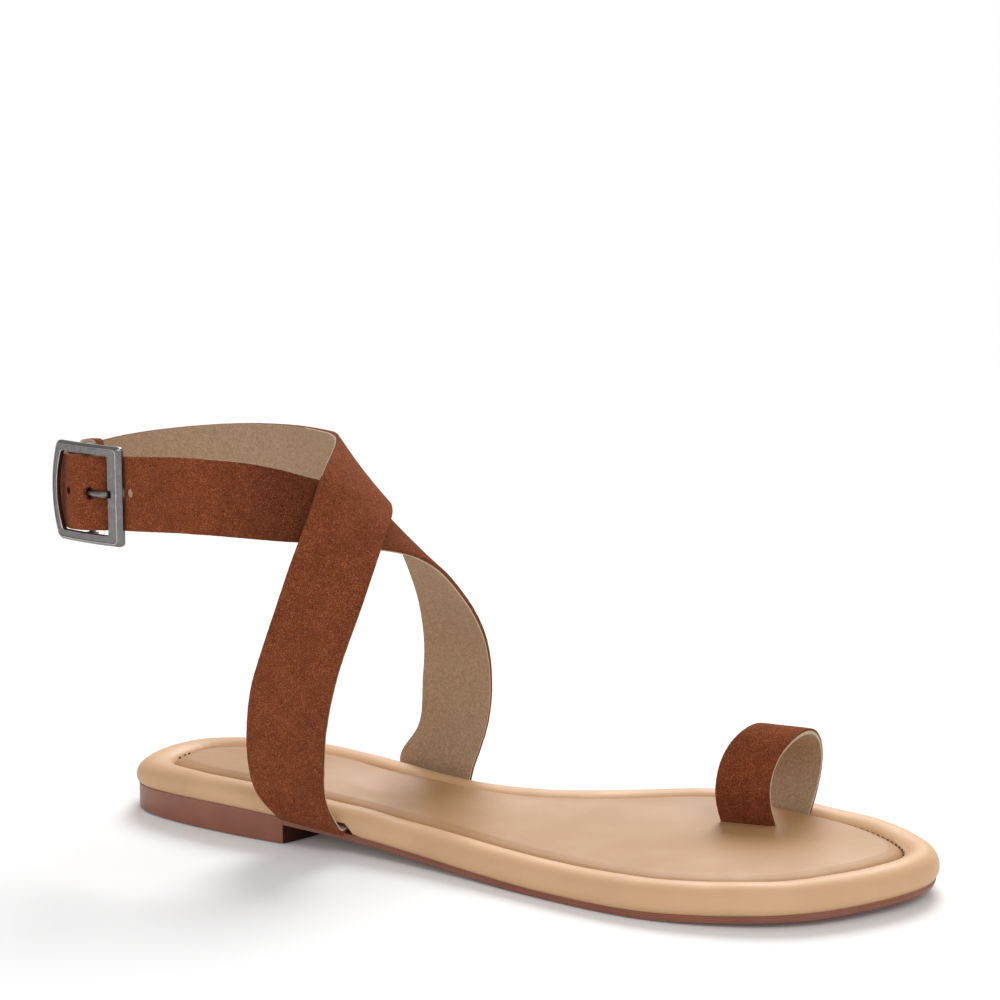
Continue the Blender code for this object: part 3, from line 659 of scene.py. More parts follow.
# The dome ends within this power of the way to heel and toe.
DOME_END = 12
PAD_WAVE = (0.00014, 42.0, 3.0)
INSOLE_RELIEF = (
    # x, y, reach along, reach across, rise
    (0.034, 0.000, 0.016, 0.012, -0.0008),
    (0.064, 0.006, 0.013, 0.010, 0.0008),
    (0.085, -0.005, 0.011, 0.008, -0.0019),
    (0.100, 0.012, 0.016, 0.008, 0.0017),
    (0.172, 0.004, 0.026, 0.024, -0.0010),
)
# Swell beside the medial rim: x, reach, share of the way across, its reach, rise.
MEDIAL_SWELL = (0.158, 0.045, 0.75, 0.40, 0.0013)
SLITS = (
    # rear x, rear y, front x, front y
    (0.1859, 0.0163, 0.2000, 0.0147),
    (0.1937, 0.0376, 0.2065, 0.0334),
)
SLIT_DIP = 0.00045
SLIT_REACH = 0.0022


def slit_distance(x, y):
    """Distance to the nearer slit of the toe loop."""
    nearest = 1.0
    for rear_x, rear_y, front_x, front_y in SLITS:
        run_x, run_y = front_x - rear_x, front_y - rear_y
        share_along = ((x - rear_x) * run_x + (y - rear_y) * run_y) / (run_x**2 + run_y**2)
        share_along = min(max(share_along, 0.0), 1.0)
        away = math.hypot(x - rear_x - share_along * run_x, y - rear_y - share_along * run_y)
        nearest = min(nearest, away)
    return nearest


pad_loop = roll_loop(PAD_INSET)
pad_heel, pad_toe = pad_loop[0, 0], pad_loop[STATIONS, 0]


def insole_surface(x, y, edge=1.0):
    """Rise of the pad over its plain height: domed across, with the hollows that a foot finds."""
    medial = np.interp(x, pad_loop[: STATIONS + 1, 0], pad_loop[: STATIONS + 1, 1])
    lateral = np.interp(x, pad_loop[:STATIONS:-1, 0], pad_loop[:STATIONS:-1, 1])
    over = (2.0 * y - medial - lateral) / max(medial - lateral, 0.001)
    ahead = abs(2.0 * x - pad_heel - pad_toe) / (pad_toe - pad_heel)
    rise = INSOLE_DOME * max(1.0 - over**2, 0.0) * max(1.0 - ahead**DOME_END, 0.0)
    for middle_x, middle_y, reach_x, reach_y, height in INSOLE_RELIEF:
        away = ((x - middle_x) / reach_x) ** 2 + ((y - middle_y) / reach_y) ** 2
        rise += height * math.exp(-away)
    middle_x, reach_x, middle_over, reach_over, height = MEDIAL_SWELL
    away = ((x - middle_x) / reach_x) ** 2 + ((over - middle_over) / reach_over) ** 2
    rise += height * math.exp(-away)
    wave, long, seed = PAD_WAVE
    rise += wave * noise.noise(Vector((x * long, y * long, seed)))
    rise -= SLIT_DIP * math.exp(-((slit_distance(x, y) / SLIT_REACH) ** 2))
    return rise * edge


insole_leather = tan_leather(
    "insole leather", (0.450, 0.246, 0.110), (0.378, 0.199, 0.084), roughness=0.54, gloss=0.06
)
fine = fine_profile(INSOLE_PROFILE, INSOLE_STEPS)
mesh = bmesh.new()
rings = []
for inset, height in fine:
    edge = min(max((inset - PAD_INSET) / PAD_EDGE, 0.0), 1.0)
    ring = []
    for x, y in roll_loop(inset):
        level = height * roll_height(x) + insole_surface(x, y, edge)
        ring.append(mesh.verts.new((x, y, float(sole_height(x)) + level)))
    rings.append(ring)
for first, second in zip(rings, rings[1:]):
    join_rings(mesh, first, second)
lay_cap(mesh, rings[0], lambda x, y: float(sole_height(x)) + INSOLE_PROFILE[0][1], 4)
lay_cap(
    mesh, rings[-1],
    lambda x, y: float(sole_height(x)) + fine[-1][1] * roll_height(x) + insole_surface(x, y),
    INSOLE_COLUMNS,
)
insole = make_piece("padded_insole", mesh, [insole_leather], "insole", 60.0)

# Stitches: olive brown thread, sewn through the leather at the bottom of the groove. They show
# as short bowed strokes round toe and heel, and the padding closes over them along the sides.
THREAD_RADIUS = 0.00024
STITCH_LENGTH = 0.0010
STITCH_BOW = (-0.00030, 0.00005, 0.00012, 0.00005, -0.00030)
STITCH_TAPER = (0.7, 1.0, 1.0, 1.0, 0.7)
STITCH_INSET = 0.00935
STITCH_LEVEL = 0.00470
STITCH_RISE = 0.00015
STITCH_ENDS = (0.0118, 0.2020)


def lay_tube(mesh, points, radii, sides=8, up=(0.0, 0.0, 1.0)):
    """A closed round tube through points, with a radius at each. It never runs along up."""
    points = np.asarray(points, float)
    run = np.gradient(points, axis=0)
    run /= np.linalg.norm(run, axis=1)[:, None]
    rings = []
    for spot, along, radius in zip(points, run, radii):
        aside = np.cross(along, up)
        aside /= np.linalg.norm(aside)
        third = np.cross(along, aside)
        ring = []
        for k in range(sides):
            turn = 2.0 * math.pi * k / sides
            outward = math.cos(turn) * aside + math.sin(turn) * third
            ring.append(mesh.verts.new(spot + radius * outward))
        rings.append(ring)
    for first, second in zip(rings, rings[1:]):
        join_rings(mesh, first, second)
    mesh.faces.new(rings[0])
    mesh.faces.new(rings[-1])


thread, nodes, links, shader, place = new_material("waxed thread")
dye(nodes, links, shader, place, (0.16, 0.105, 0.055), (0.08, 0.05, 0.025), 2500.0, 0.8)
shader.inputs["Roughness"].default_value = 0.6
loop = roll_loop(STITCH_INSET)
loop = np.concatenate([loop, loop[:1]])
walked = walk_along(loop)
mesh = bmesh.new()
for k in range(int(walked[-1] / STITCH_PITCH)):
    spots = k * STITCH_PITCH + np.linspace(-0.5, 0.5, 5) * STITCH_LENGTH
    xs = np.interp(spots, walked, loop[:, 0])
    if STITCH_ENDS[0] < xs[2] < STITCH_ENDS[1]:
        continue
    ys = np.interp(spots, walked, loop[:, 1])
    level = STITCH_LEVEL * roll_height(xs[2]) + STITCH_RISE
    zs = sole_height(xs) + level + np.array(STITCH_BOW)
    lay_tube(mesh, np.stack([xs, ys, zs], axis=1), THREAD_RADIUS * np.array(STITCH_TAPER), 6)
make_piece("groove_stitches", mesh, [thread], None)

# Crossed straps: two bands of rust suede lined with thin beige microfibre, tucked in between rim
# and outsole. They are joined where they cross; one carries the buckle, the other its holes.
LINING_START = -0.00036
# Forward of this x and above this z, the band's upper edge shows its lining.
LIGHT_EDGE = (0.045, 0.1072)
SUEDE, LINING, LINING_EDGE, SUEDE_EDGE, PAINTED_SHADE_SUEDE = range(5)
STITCH_INNER = (0.0805, -0.0157, 0.0933)
STITCH_OUTER = (0.0827, -0.0170, 0.0944)
STITCH_RADIUS = 0.0045
FOLD_SLOT = (
    # x, y of its corners from the bar's middle
    (-0.0037, -0.0036),
    (0.0050, -0.0036),
    (0.0050, 0.0045),
    (-0.0037, 0.0045),
)
FOLD_SLOT_HEIGHT = 0.0040
STRAP_HALF = 0.00080
ACROSS_STEPS = 14
# Unevenness: of the cut edges, of the surface, and its crown, with bumps for each metre.
EDGE_WAVE = (0.00008, 900.0)
STRAP_RIPPLE = (0.00010, 110.0)
STRAP_CROWN = 0.00006
STRAP_SPACING = 0.0012
LATERAL_ROOT_INNER = -0.0245
MEDIAL_ROOT_INNER = 0.0150
ROOT_LIFT = 0.0011
OUTER_STRAP = (
    # upper edge x, y, z, lower edge x, y, z
    (0.0693, -0.0302, 0.0087, 0.0888, -0.0305, 0.0070),
    (0.0686, -0.0327, 0.0087, 0.0884, -0.0331, 0.0070),
    (0.0668, -0.0338, 0.0105, 0.0876, -0.0342, 0.0090),
    (0.0625, -0.0346, 0.0150, 0.0848, -0.0347, 0.0145),
    (0.0594, -0.0355, 0.0255, 0.0842, -0.0352, 0.0260),
    (0.0604, -0.0360, 0.0434, 0.0853, -0.0355, 0.0370),
    (0.0638, -0.0352, 0.0565, 0.0876, -0.0337, 0.0508),
    (0.0692, -0.0330, 0.0740, 0.0910, -0.0285, 0.0663),
    (0.0731, -0.0288, 0.0897, 0.0922, -0.0178, 0.0826),
    (0.0749, -0.0250, 0.0985, 0.0903, -0.0085, 0.0903),
    (0.0752, -0.0190, 0.1071, 0.0873, 0.0000, 0.0940),
    (0.0708, -0.0050, 0.1132, 0.0829, 0.0074, 0.0965),
    (0.0642, 0.0085, 0.1164, 0.0748, 0.0160, 0.0969),
    (0.0530, 0.0190, 0.1173, 0.0605, 0.0235, 0.0962),
    (0.0400, 0.0260, 0.1178, 0.0450, 0.0280, 0.0960),
    (0.0250, 0.0290, 0.1180, 0.0270, 0.0300, 0.0960),
    (0.0080, 0.0290, 0.1173, 0.0085, 0.0296, 0.0953),
    (-0.0060, 0.0235, 0.1160, -0.0060, 0.0240, 0.0940),
    (-0.0138, 0.0120, 0.1147, -0.0138, 0.0120, 0.0927),
    (-0.0160, 0.0000, 0.1135, -0.0160, 0.0000, 0.0915),
    (-0.0150, -0.0120, 0.1127, -0.0150, -0.0120, 0.0907),
    (-0.0115, -0.0225, 0.1123, -0.0115, -0.0225, 0.0903),
    (-0.0060, -0.0290, 0.1123, -0.0060, -0.0290, 0.0903),
    (-0.0005, -0.0316, 0.1122, -0.0005, -0.0316, 0.0902),
)
INNER_STRAP = (
    # rear or upper edge x, y, z, front or lower edge x, y, z
    (0.0772, 0.0222, 0.0083, 0.1010, 0.0196, 0.0062),
    (0.0770, 0.0248, 0.0088, 0.1013, 0.0223, 0.0066),
    (0.0766, 0.0259, 0.0103, 0.1016, 0.0235, 0.0082),
    (0.0764, 0.0264, 0.0140, 0.1022, 0.0241, 0.0115),
    (0.0814, 0.0275, 0.0225, 0.1035, 0.0260, 0.0175),
    (0.0835, 0.0280, 0.0355, 0.1057, 0.0280, 0.0265),
    (0.0843, 0.0278, 0.0484, 0.1071, 0.0280, 0.0393),
    (0.0843, 0.0258, 0.0610, 0.1070, 0.0250, 0.0525),
    (0.0840, 0.0200, 0.0735, 0.1048, 0.0178, 0.0656),
    (0.0838, 0.0148, 0.0815, 0.1016, 0.0140, 0.0722),
    (0.0840, 0.0095, 0.0884, 0.0990, 0.0098, 0.0772),
    (0.0826, 0.0045, 0.0938, 0.0963, 0.0045, 0.0810),
    (0.0793, -0.0010, 0.0983, 0.0930, -0.0020, 0.0838),
    (0.0760, -0.0075, 0.1020, 0.0900, -0.0085, 0.0855),
    (0.0730, -0.0148, 0.1049, 0.0860, -0.0150, 0.0868),
    (0.0699, -0.0220, 0.1073, 0.0793, -0.0215, 0.0879),
    (0.0655, -0.0272, 0.1096, 0.0707, -0.0272, 0.0888),
    (0.0570, -0.0320, 0.1116, 0.0590, -0.0320, 0.0898),
    (0.0450, -0.0343, 0.1124, 0.0455, -0.0343, 0.0904),
    (0.0320, -0.0353, 0.1126, 0.0320, -0.0353, 0.0905),
    (0.0220, -0.0355, 0.1123, 0.0220, -0.0355, 0.0903),
    (0.0155, -0.0354, 0.1122, 0.0155, -0.0354, 0.0902),
    (0.0100, -0.0374, 0.1122, 0.0100, -0.0374, 0.0902),
    (0.0045, -0.0389, 0.1122, 0.0045, -0.0389, 0.0902),
    (-0.0010, -0.0370, 0.1122, -0.0010, -0.0370, 0.0902),
    (-0.0034, -0.0352, 0.1122, -0.0034, -0.0352, 0.0902),
    (-0.0065, -0.0333, 0.1122, -0.0065, -0.0333, 0.0902),
    (-0.0104, -0.0293, 0.1122, -0.0104, -0.0293, 0.0902),
    (-0.0135, -0.0236, 0.1122, -0.0135, -0.0236, 0.0902),
    (-0.0171, -0.0125, 0.1126, -0.0171, -0.0125, 0.0906),
    (-0.0181, 0.0000, 0.1133, -0.0181, 0.0000, 0.0913),
    (-0.0169, 0.0090, 0.1143, -0.0169, 0.0090, 0.0923),
)
BAR_MIDDLE = (0.00450, -0.0343, 0.1012)
FOLD_RADIUS = 0.0023
FOLD_END = (
    # how far the turned end goes back from the bar, and in from the fold
    (0.0028, 0.0007),
    (0.0052, 0.0018),
)
STRAP_HOLES = (
    # x, y, z, radius
    (-0.0012, -0.0370, 0.1016, 0.0012),
    (0.0075, -0.0382, 0.1012, 0.0020),
    (0.0194, -0.0358, 0.1014, 0.0015),
)

# Painted shade on the inner strap's suede along x: it darkens beside the outer strap where that
# crosses over, stays dark under it, and is a little lighter beyond.
SHADE_FROM, SHADE_TO = 0.048, 0.098
PAINTED_SHADE_STOPS = (
    # share of the way between them, how much of the colour is left
    (0.00, 1.00),
    (0.38, 0.60),
    (0.62, 0.60),
    (0.76, 0.78),
    (1.00, 0.90),
)


def rust_suede(name, rubbed):
    """Suede with a short nap; with rubbed set, its colour is darkened along x by painted shade
    where the other strap crosses over it.
    """
    made, nodes, links, shader, place = new_material(name)
    fibre = add_noise(nodes, links, place, 1650.0, 3.0, 0.75, 3.0)
    patches = add_noise(nodes, links, place, 170.0, 4.0, 0.6)
    mixed = nodes.new("ShaderNodeMath")
    mixed.operation = "MULTIPLY_ADD"
    mixed.inputs[1].default_value = 0.10
    links.new(patches, mixed.inputs[0])
    scaled = nodes.new("ShaderNodeMath")
    scaled.operation = "MULTIPLY"
    scaled.inputs[1].default_value = 0.90
    links.new(fibre, scaled.inputs[0])
    links.new(scaled.outputs["Value"], mixed.inputs[2])
    colour = add_ramp(
        nodes, links, mixed.outputs["Value"],
        (
            (0.36, (0.055, 0.013, 0.006)),
            (0.46, (0.148, 0.036, 0.014)),
            (0.54, (0.232, 0.060, 0.023)),
            (0.64, (0.540, 0.178, 0.076)),
        ),
    )
    if rubbed:
        # Painted shade: the nap colour is multiplied by a ramp along x.
        axes = nodes.new("ShaderNodeSeparateXYZ")
        links.new(place, axes.inputs["Vector"])
        along = nodes.new("ShaderNodeMapRange")
        along.inputs["From Min"].default_value = SHADE_FROM + HEEL_BACK.x
        along.inputs["From Max"].default_value = SHADE_TO + HEEL_BACK.x
        links.new(axes.outputs["X"], along.inputs["Value"])
        shade = add_ramp(
            nodes, links, along.outputs["Result"],
            [(spot, (left, left * 0.97, left * 0.94)) for spot, left in PAINTED_SHADE_STOPS],
        )
        darker = nodes.new("ShaderNodeMix")
        darker.data_type = "RGBA"
        darker.blend_type = "MULTIPLY"
        darker.inputs["Factor"].default_value = 1.0
        links.new(colour, darker.inputs["A"])
        links.new(shade, darker.inputs["B"])
        colour = darker.outputs["Result"]
    links.new(colour, shader.inputs["Base Color"])
    shader.inputs["Roughness"].default_value = 0.96
    shader.inputs["Specular IOR Level"].default_value = 0.08
    shader.inputs["Sheen Weight"].default_value = 0.20
    shader.inputs["Sheen Roughness"].default_value = 0.5
    shader.inputs["Sheen Tint"].default_value = (0.80, 0.30, 0.14, 1.0)
    add_bump(nodes, links, shader, fibre, 0.9, 0.00030)
    return made


suede = rust_suede("rust suede", False)
shaded_suede = rust_suede("rust suede with painted shade", True)

lining, nodes, links, shader, place = new_material("beige lining")
fluff = add_noise(nodes, links, place, 1500.0, 4.0, 0.6)
dye(nodes, links, shader, place, (0.470, 0.328, 0.207), (0.340, 0.228, 0.139), 1400.0, 0.9)
shader.inputs["Roughness"].default_value = 0.93
shader.inputs["Specular IOR Level"].default_value = 0.2
shader.inputs["Sheen Weight"].default_value = 0.15
add_bump(nodes, links, shader, fluff, 0.6, 0.00014)

suede_edge, nodes, links, shader, place = new_material("cut suede edge")
dye(nodes, links, shader, place, (0.225, 0.072, 0.031), (0.140, 0.040, 0.016), 1300.0, 0.9)
shader.inputs["Roughness"].default_value = 0.95
shader.inputs["Specular IOR Level"].default_value = 0.15

cut_edge, nodes, links, shader, place = new_material("cut lining edge")
dye(nodes, links, shader, place, (0.560, 0.445, 0.310), (0.450, 0.345, 0.230), 900.0, 0.8)
shader.inputs["Roughness"].default_value = 0.9


def strap_section(lining_start):
    """Points round a strap: share across, height from the middle layer, and the face's material."""
    section = [(k / ACROSS_STEPS, STRAP_HALF, SUEDE) for k in range(ACROSS_STEPS)]
    section += [(1.0, STRAP_HALF, SUEDE_EDGE), (1.0, lining_start, LINING_EDGE)]
    section += [(1.0 - k / ACROSS_STEPS, -STRAP_HALF, LINING) for k in range(ACROSS_STEPS)]
    section += [(0.0, -STRAP_HALF, SUEDE_EDGE), (0.0, lining_start, SUEDE_EDGE)]
    return section


def lay_strap(mesh, rows, suede_side, round_end=False, lining_start=LINING_START):
    """A lined band along the two edges of its rows, suede on the side that is given."""
    rows = np.array(rows)
    section = strap_section(lining_start)
    middle = (rows[:, :3] + rows[:, 3:]) / 2.0
    walked = walk_along(middle)
    places = np.linspace(0.0, walked[-1], int(round(walked[-1] / STRAP_SPACING)) + 1)
    curve = smooth_curve(walked, rows, places)
    first, second = curve[:, :3], curve[:, 3:]
    across = second - first
    width = np.linalg.norm(across, axis=1)
    across /= width[:, None]
    facing = []
    for edge in (first, second):
        side = np.cross(np.gradient(edge, axis=0), across)
        facing.append(suede_side * side / np.linalg.norm(side, axis=1)[:, None])
    rings = []
    for i in range(len(places)):
        left = places[-1] - places[i]
        shrink = 0.0
        if round_end and left < width[i] / 2.0:
            shrink = 0.5 - math.sqrt(max(0.25 - (0.5 - left / width[i]) ** 2, 0.0004))
        ring = []
        for share_over, lift, _material in section:
            over = shrink + share_over * (1.0 - 2.0 * shrink)
            spot = first[i] * (1.0 - over) + second[i] * over
            normal = facing[0][i] * (1.0 - over) + facing[1][i] * over
            if share_over in (0.0, 1.0):
                rough = EDGE_WAVE[0] * noise.noise(Vector(spot * EDGE_WAVE[1]))
                spot = spot + across[i] * rough
            crown = STRAP_CROWN * (1.0 - abs(2.0 * share_over - 1.0) ** 8)
            ripple = STRAP_RIPPLE[0] * noise.noise(Vector(spot * STRAP_RIPPLE[1]))
            height = lift + math.copysign(crown, lift) + ripple
            ring.append(mesh.verts.new(spot + normal * height))
        rings.append(ring)
    kinds = [kind for _share, _lift, kind in section]
    for near, far in zip(rings, rings[1:]):
        made = join_rings(mesh, near, far)
        for face, kind in zip(made, kinds):
            face.material_index = kind
        if near[0].co.x > LIGHT_EDGE[0] and near[0].co.z > LIGHT_EDGE[1]:
            made[-2].material_index = LINING_EDGE
    for ring in (rings[0], rings[-1]):
        mesh.faces.new(ring).material_index = SUEDE


def tucked(rows, inner_y):
    """Adds the hidden end of a strap, flat between rim and outsole."""
    rear_x, front_x = rows[0][0], rows[0][3]
    rear_z = float(sole_height(rear_x)) + ROOT_LIFT
    front_z = float(sole_height(front_x)) + ROOT_LIFT
    return ((rear_x, inner_y, rear_z, front_x, inner_y, front_z),) + tuple(rows)


bar_x, bar_y, bar_z = BAR_MIDDLE
top, bottom = OUTER_STRAP[-1][2], OUTER_STRAP[-1][5]
turned = []
for degrees in (-90, -45, 0, 45, 90):
    turn = math.radians(degrees)
    turned.append((bar_x + FOLD_RADIUS * math.cos(turn), bar_y - FOLD_RADIUS * math.sin(turn)))
for back, drop in FOLD_END:
    turned.append((bar_x - back, bar_y - FOLD_RADIUS + drop))
fold = [(x, y, top, x, y, bottom) for x, y in turned]


def cut_away(body, cutter):
    """The body without the cutter's volume. Both are closed shapes."""
    pair = []
    for name, shape in (("body", body), ("cutter", cutter)):
        bmesh.ops.recalc_face_normals(shape, faces=shape.faces)
        data = bpy.data.meshes.new(name)
        shape.to_mesh(data)
        shape.free()
        made = bpy.data.objects.new(name, data)
        bpy.context.scene.collection.objects.link(made)
        pair.append(made)
    change = pair[0].modifiers.new("cut", "BOOLEAN")
    change.operation = "DIFFERENCE"
    change.solver = "EXACT"
    change.object = pair[1]
    bpy.context.view_layer.update()
    graph = bpy.context.evaluated_depsgraph_get()
    left = bmesh.new()
    left.from_mesh(bpy.data.meshes.new_from_object(pair[0].evaluated_get(graph)))
    for made in pair:
        bpy.data.objects.remove(made)
    return left


def lay_block(mesh, lower, upper):
    """A closed block between two rings of corners."""
    rings = [[mesh.verts.new(spot) for spot in ring] for ring in (lower, upper)]
    join_rings(mesh, rings[0], rings[1])
    mesh.faces.new(rings[0])
    mesh.faces.new(rings[1])


PUNCH_REACH = (0.003, 0.002)
PUNCH_SIDES = 24
punches = bmesh.new()
for x, y, z, radius in STRAP_HOLES:
    turns = [2.0 * math.pi * k / PUNCH_SIDES for k in range(PUNCH_SIDES)]
    round_hole = [(x + radius * math.cos(turn), z + radius * math.sin(turn)) for turn in turns]
    lay_block(
        punches,
        [(spot_x, y - PUNCH_REACH[0], spot_z) for spot_x, spot_z in round_hole],
        [(spot_x, y + PUNCH_REACH[1], spot_z) for spot_x, spot_z in round_hole],
    )
inner_band = bmesh.new()
lay_strap(inner_band, tucked(INNER_STRAP, MEDIAL_ROOT_INNER), 1.0, round_end=True)
inner_band = cut_away(inner_band, punches)
# All suede of the inner strap takes the copy with painted shade along x.
for face in inner_band.faces:
    if face.material_index == SUEDE:
        face.material_index = PAINTED_SHADE_SUEDE
slot = bmesh.new()
half = FOLD_SLOT_HEIGHT / 2.0
lay_block(
    slot,
    [(bar_x + dx, bar_y + dy, bar_z - half) for dx, dy in FOLD_SLOT],
    [(bar_x + dx, bar_y + dy, bar_z + half) for dx, dy in FOLD_SLOT],
)
outer_band = bmesh.new()
lay_strap(outer_band, list(tucked(OUTER_STRAP, LATERAL_ROOT_INNER)) + fold, -1.0)
outer_band = cut_away(outer_band, slot)
mesh = bmesh.new()
for band in (inner_band, outer_band):
    data = bpy.data.meshes.new("band")
    band.to_mesh(data)
    band.free()
    mesh.from_mesh(data)
lay_tube(mesh, (STITCH_INNER, STITCH_OUTER), (STITCH_RADIUS, STITCH_RADIUS), 24)
layers = [suede, lining, cut_edge, suede_edge]
make_piece("suede_straps", mesh, layers + [shaded_suede], "crossed_straps", 40.0)

# Toe loop: a short band of the same lined suede, bent over one toe, with its ends glued through
# slits in the insole.
LOOP_LINING_START = 0.00012
TOE_LOOP = (
    # rear edge x, y, z, front edge x, y, z
    (0.1868, 0.0176, 0.0053, 0.2026, 0.0160, 0.0059),
    (0.1860, 0.0168, 0.0090, 0.2024, 0.0156, 0.0090),
    (0.1850, 0.0145, 0.0160, 0.2012, 0.0140, 0.0155),
    (0.1853, 0.0144, 0.0240, 0.2010, 0.0142, 0.0235),
    (0.1880, 0.0170, 0.0318, 0.2035, 0.0170, 0.0313),
    (0.1926, 0.0245, 0.0358, 0.2078, 0.0245, 0.0358),
    (0.1946, 0.0345, 0.0324, 0.2094, 0.0340, 0.0319),
    (0.1942, 0.0402, 0.0240, 0.2088, 0.0396, 0.0235),
    (0.1938, 0.0404, 0.0150, 0.2076, 0.0386, 0.0150),
    (0.1937, 0.0384, 0.0092, 0.2068, 0.0350, 0.0095),
    (0.1937, 0.0374, 0.0057, 0.2064, 0.0338, 0.0063),
)
mesh = bmesh.new()
lay_strap(mesh, TOE_LOOP, -1.0, lining_start=LOOP_LINING_START)
make_piece("suede_toe_loop", mesh, layers, "toe_loop", 40.0)

# Keeper: a narrow closed band of lined suede round both straps behind the ankle. It holds the
# tip of the strap.
KEEPER_MIDDLE = (-0.0167, -0.0064, 0.1018)
KEEPER_OPENING = (0.0041, 0.0228)
KEEPER_THICKNESS = 0.0010
KEEPER_WIDTH = 0.0046
KEEPER_TURN = math.radians(6.0)
KEEPER_CORNER = 0.0016
KEEPER_INNER_CORNER = 0.0005
KEEPER_SECTION = (
    # share of the thickness, side of the band, layer that starts here
    (1.0, 1.0, SUEDE),
    (1.0, -1.0, LINING_EDGE),
    (0.4, -1.0, LINING),
    (0.0, -1.0, LINING),
    (0.0, 1.0, LINING),
    (0.4, 1.0, LINING_EDGE),
)


def rounded_loop(low, high, half_height, corner, steps=5, side_steps=1):
    """Points round a rectangle whose corners are arcs."""
    points = []
    middles = (
        (high - corner, half_height - corner, 0.0),
        (low + corner, half_height - corner, 90.0),
        (low + corner, corner - half_height, 180.0),
        (high - corner, corner - half_height, 270.0),
    )
    for middle_x, middle_y, start in middles:
        for k in range(steps + 1):
            turn = math.radians(start + 90.0 * k / steps)
            points.append((middle_x + corner * math.cos(turn), middle_y + corner * math.sin(turn)))
    along = []
    for near, far in zip(points, points[1:] + points[:1]):
        straight = math.dist(near, far) > corner
        for k in range(side_steps if straight else 1):
            along.append(tuple(np.array(near) + (np.array(far) - near) * k / side_steps))
    return along


mesh = bmesh.new()
depth, height = KEEPER_OPENING
rings = []
for share_out, side, layer in KEEPER_SECTION:
    grow = KEEPER_THICKNESS * share_out
    corner = KEEPER_INNER_CORNER + (KEEPER_CORNER - KEEPER_INNER_CORNER) * share_out
    low, high = -depth / 2.0 - grow, depth / 2.0 + grow
    ring = []
    for out, up in rounded_loop(low, high, height / 2.0 + grow, corner):
        along = side * KEEPER_WIDTH / 2.0
        x = KEEPER_MIDDLE[0] + out * math.cos(KEEPER_TURN) - along * math.sin(KEEPER_TURN)
        y = KEEPER_MIDDLE[1] + out * math.sin(KEEPER_TURN) + along * math.cos(KEEPER_TURN)
        ring.append(mesh.verts.new((x, y, KEEPER_MIDDLE[2] + up)))
    rings.append((ring, layer))
for (first, layer), (second, _next_layer) in zip(rings, rings[1:] + rings[:1]):
    for face in join_rings(mesh, first, second):
        face.material_index = layer
make_piece("suede_keeper", mesh, layers, "keeper_loop", 40.0)

# Buckle frame: cast zinc with a dark pewter plating that is rubbed bright along its ridges. It is
# slightly bowed, with a raised ridge near its outer edge and a bar behind it for strap and prong.
BUCKLE_CENTRE = (0.0066, -0.0389, 0.1011)
BUCKLE_SLOPE = 0.072
BUCKLE_SIZE = (0.0232, 0.0297)
BUCKLE_OPENING = (-0.0095, 0.0072, 0.0236)
BUCKLE_CORNERS = (0.0014, 0.0006)
BUCKLE_BOW = 0.0012
BUCKLE_SIDE_BOW = (0.0024, 0.0022)
BUCKLE_SECTION = (
    # share from the outer to the inner edge, height from the middle plane, rubbed from here on
    (0.00, -0.00110, 0),
    (0.00, -0.00010, 0),
    (0.06, 0.00024, 0),
    (0.27, 0.00102, 1),
    (0.33, 0.00110, 0),
    (0.40, 0.00084, 0),
    (0.91, 0.00080, 1),
    (0.97, 0.00060, 0),
    (1.00, 0.00020, 0),
    (1.00, -0.00110, 0),
)
BAR_OFFSET = (-0.0021, 0.0046)
BAR_RADIUS = 0.0010
BAR_SIDES = 16
BAR_END = 0.0013
LUG_ENDS = (0.0004, 0.0026)
LUG_HALF = 0.0014
LUG_DEPTH = (0.0012, 0.0006)
NOTCH_RADIUS = 0.0013
NOTCH_ENDS = (-0.0040, 0.0006)
PRONG_TIP = (0.0146, -0.0397)
SOFT_EDGE = 0.00018
SOFT_ANGLE = 28.0


def plating(name, dark, middle, light, roughness):
    """Dark plated metal with fine scuffs."""
    made, nodes, links, shader, place = new_material(name)
    scuffs = add_noise(nodes, links, place, 700.0, 5.0, 0.7, 0.6)
    colour = add_ramp(nodes, links, scuffs, ((0.30, dark), (0.52, middle), (0.75, light)))
    links.new(colour, shader.inputs["Base Color"])
    shader.inputs["Metallic"].default_value = 1.0
    matt = nodes.new("ShaderNodeMapRange")
    matt.inputs["To Min"].default_value = roughness
    matt.inputs["To Max"].default_value = roughness + 0.16
    links.new(scuffs, matt.inputs["Value"])
    links.new(matt.outputs["Result"], shader.inputs["Roughness"])
    add_bump(nodes, links, shader, scuffs, 0.08, 0.00005)
    return made


pewter = plating(
    "pewter plating", (0.165, 0.157, 0.153), (0.205, 0.196, 0.191), (0.265, 0.254, 0.248), 0.25
)
bright_pewter = plating(
    "rubbed pewter", (0.34, 0.33, 0.325), (0.47, 0.46, 0.45), (0.62, 0.61, 0.60), 0.26
)


def buckle_point(across, up, out):
    """A place on the buckle: along the strap, up, and out from its middle."""
    z = BUCKLE_CENTRE[2] - across * BUCKLE_SLOPE + up
    return (BUCKLE_CENTRE[0] + across, BUCKLE_CENTRE[1] - out, z)


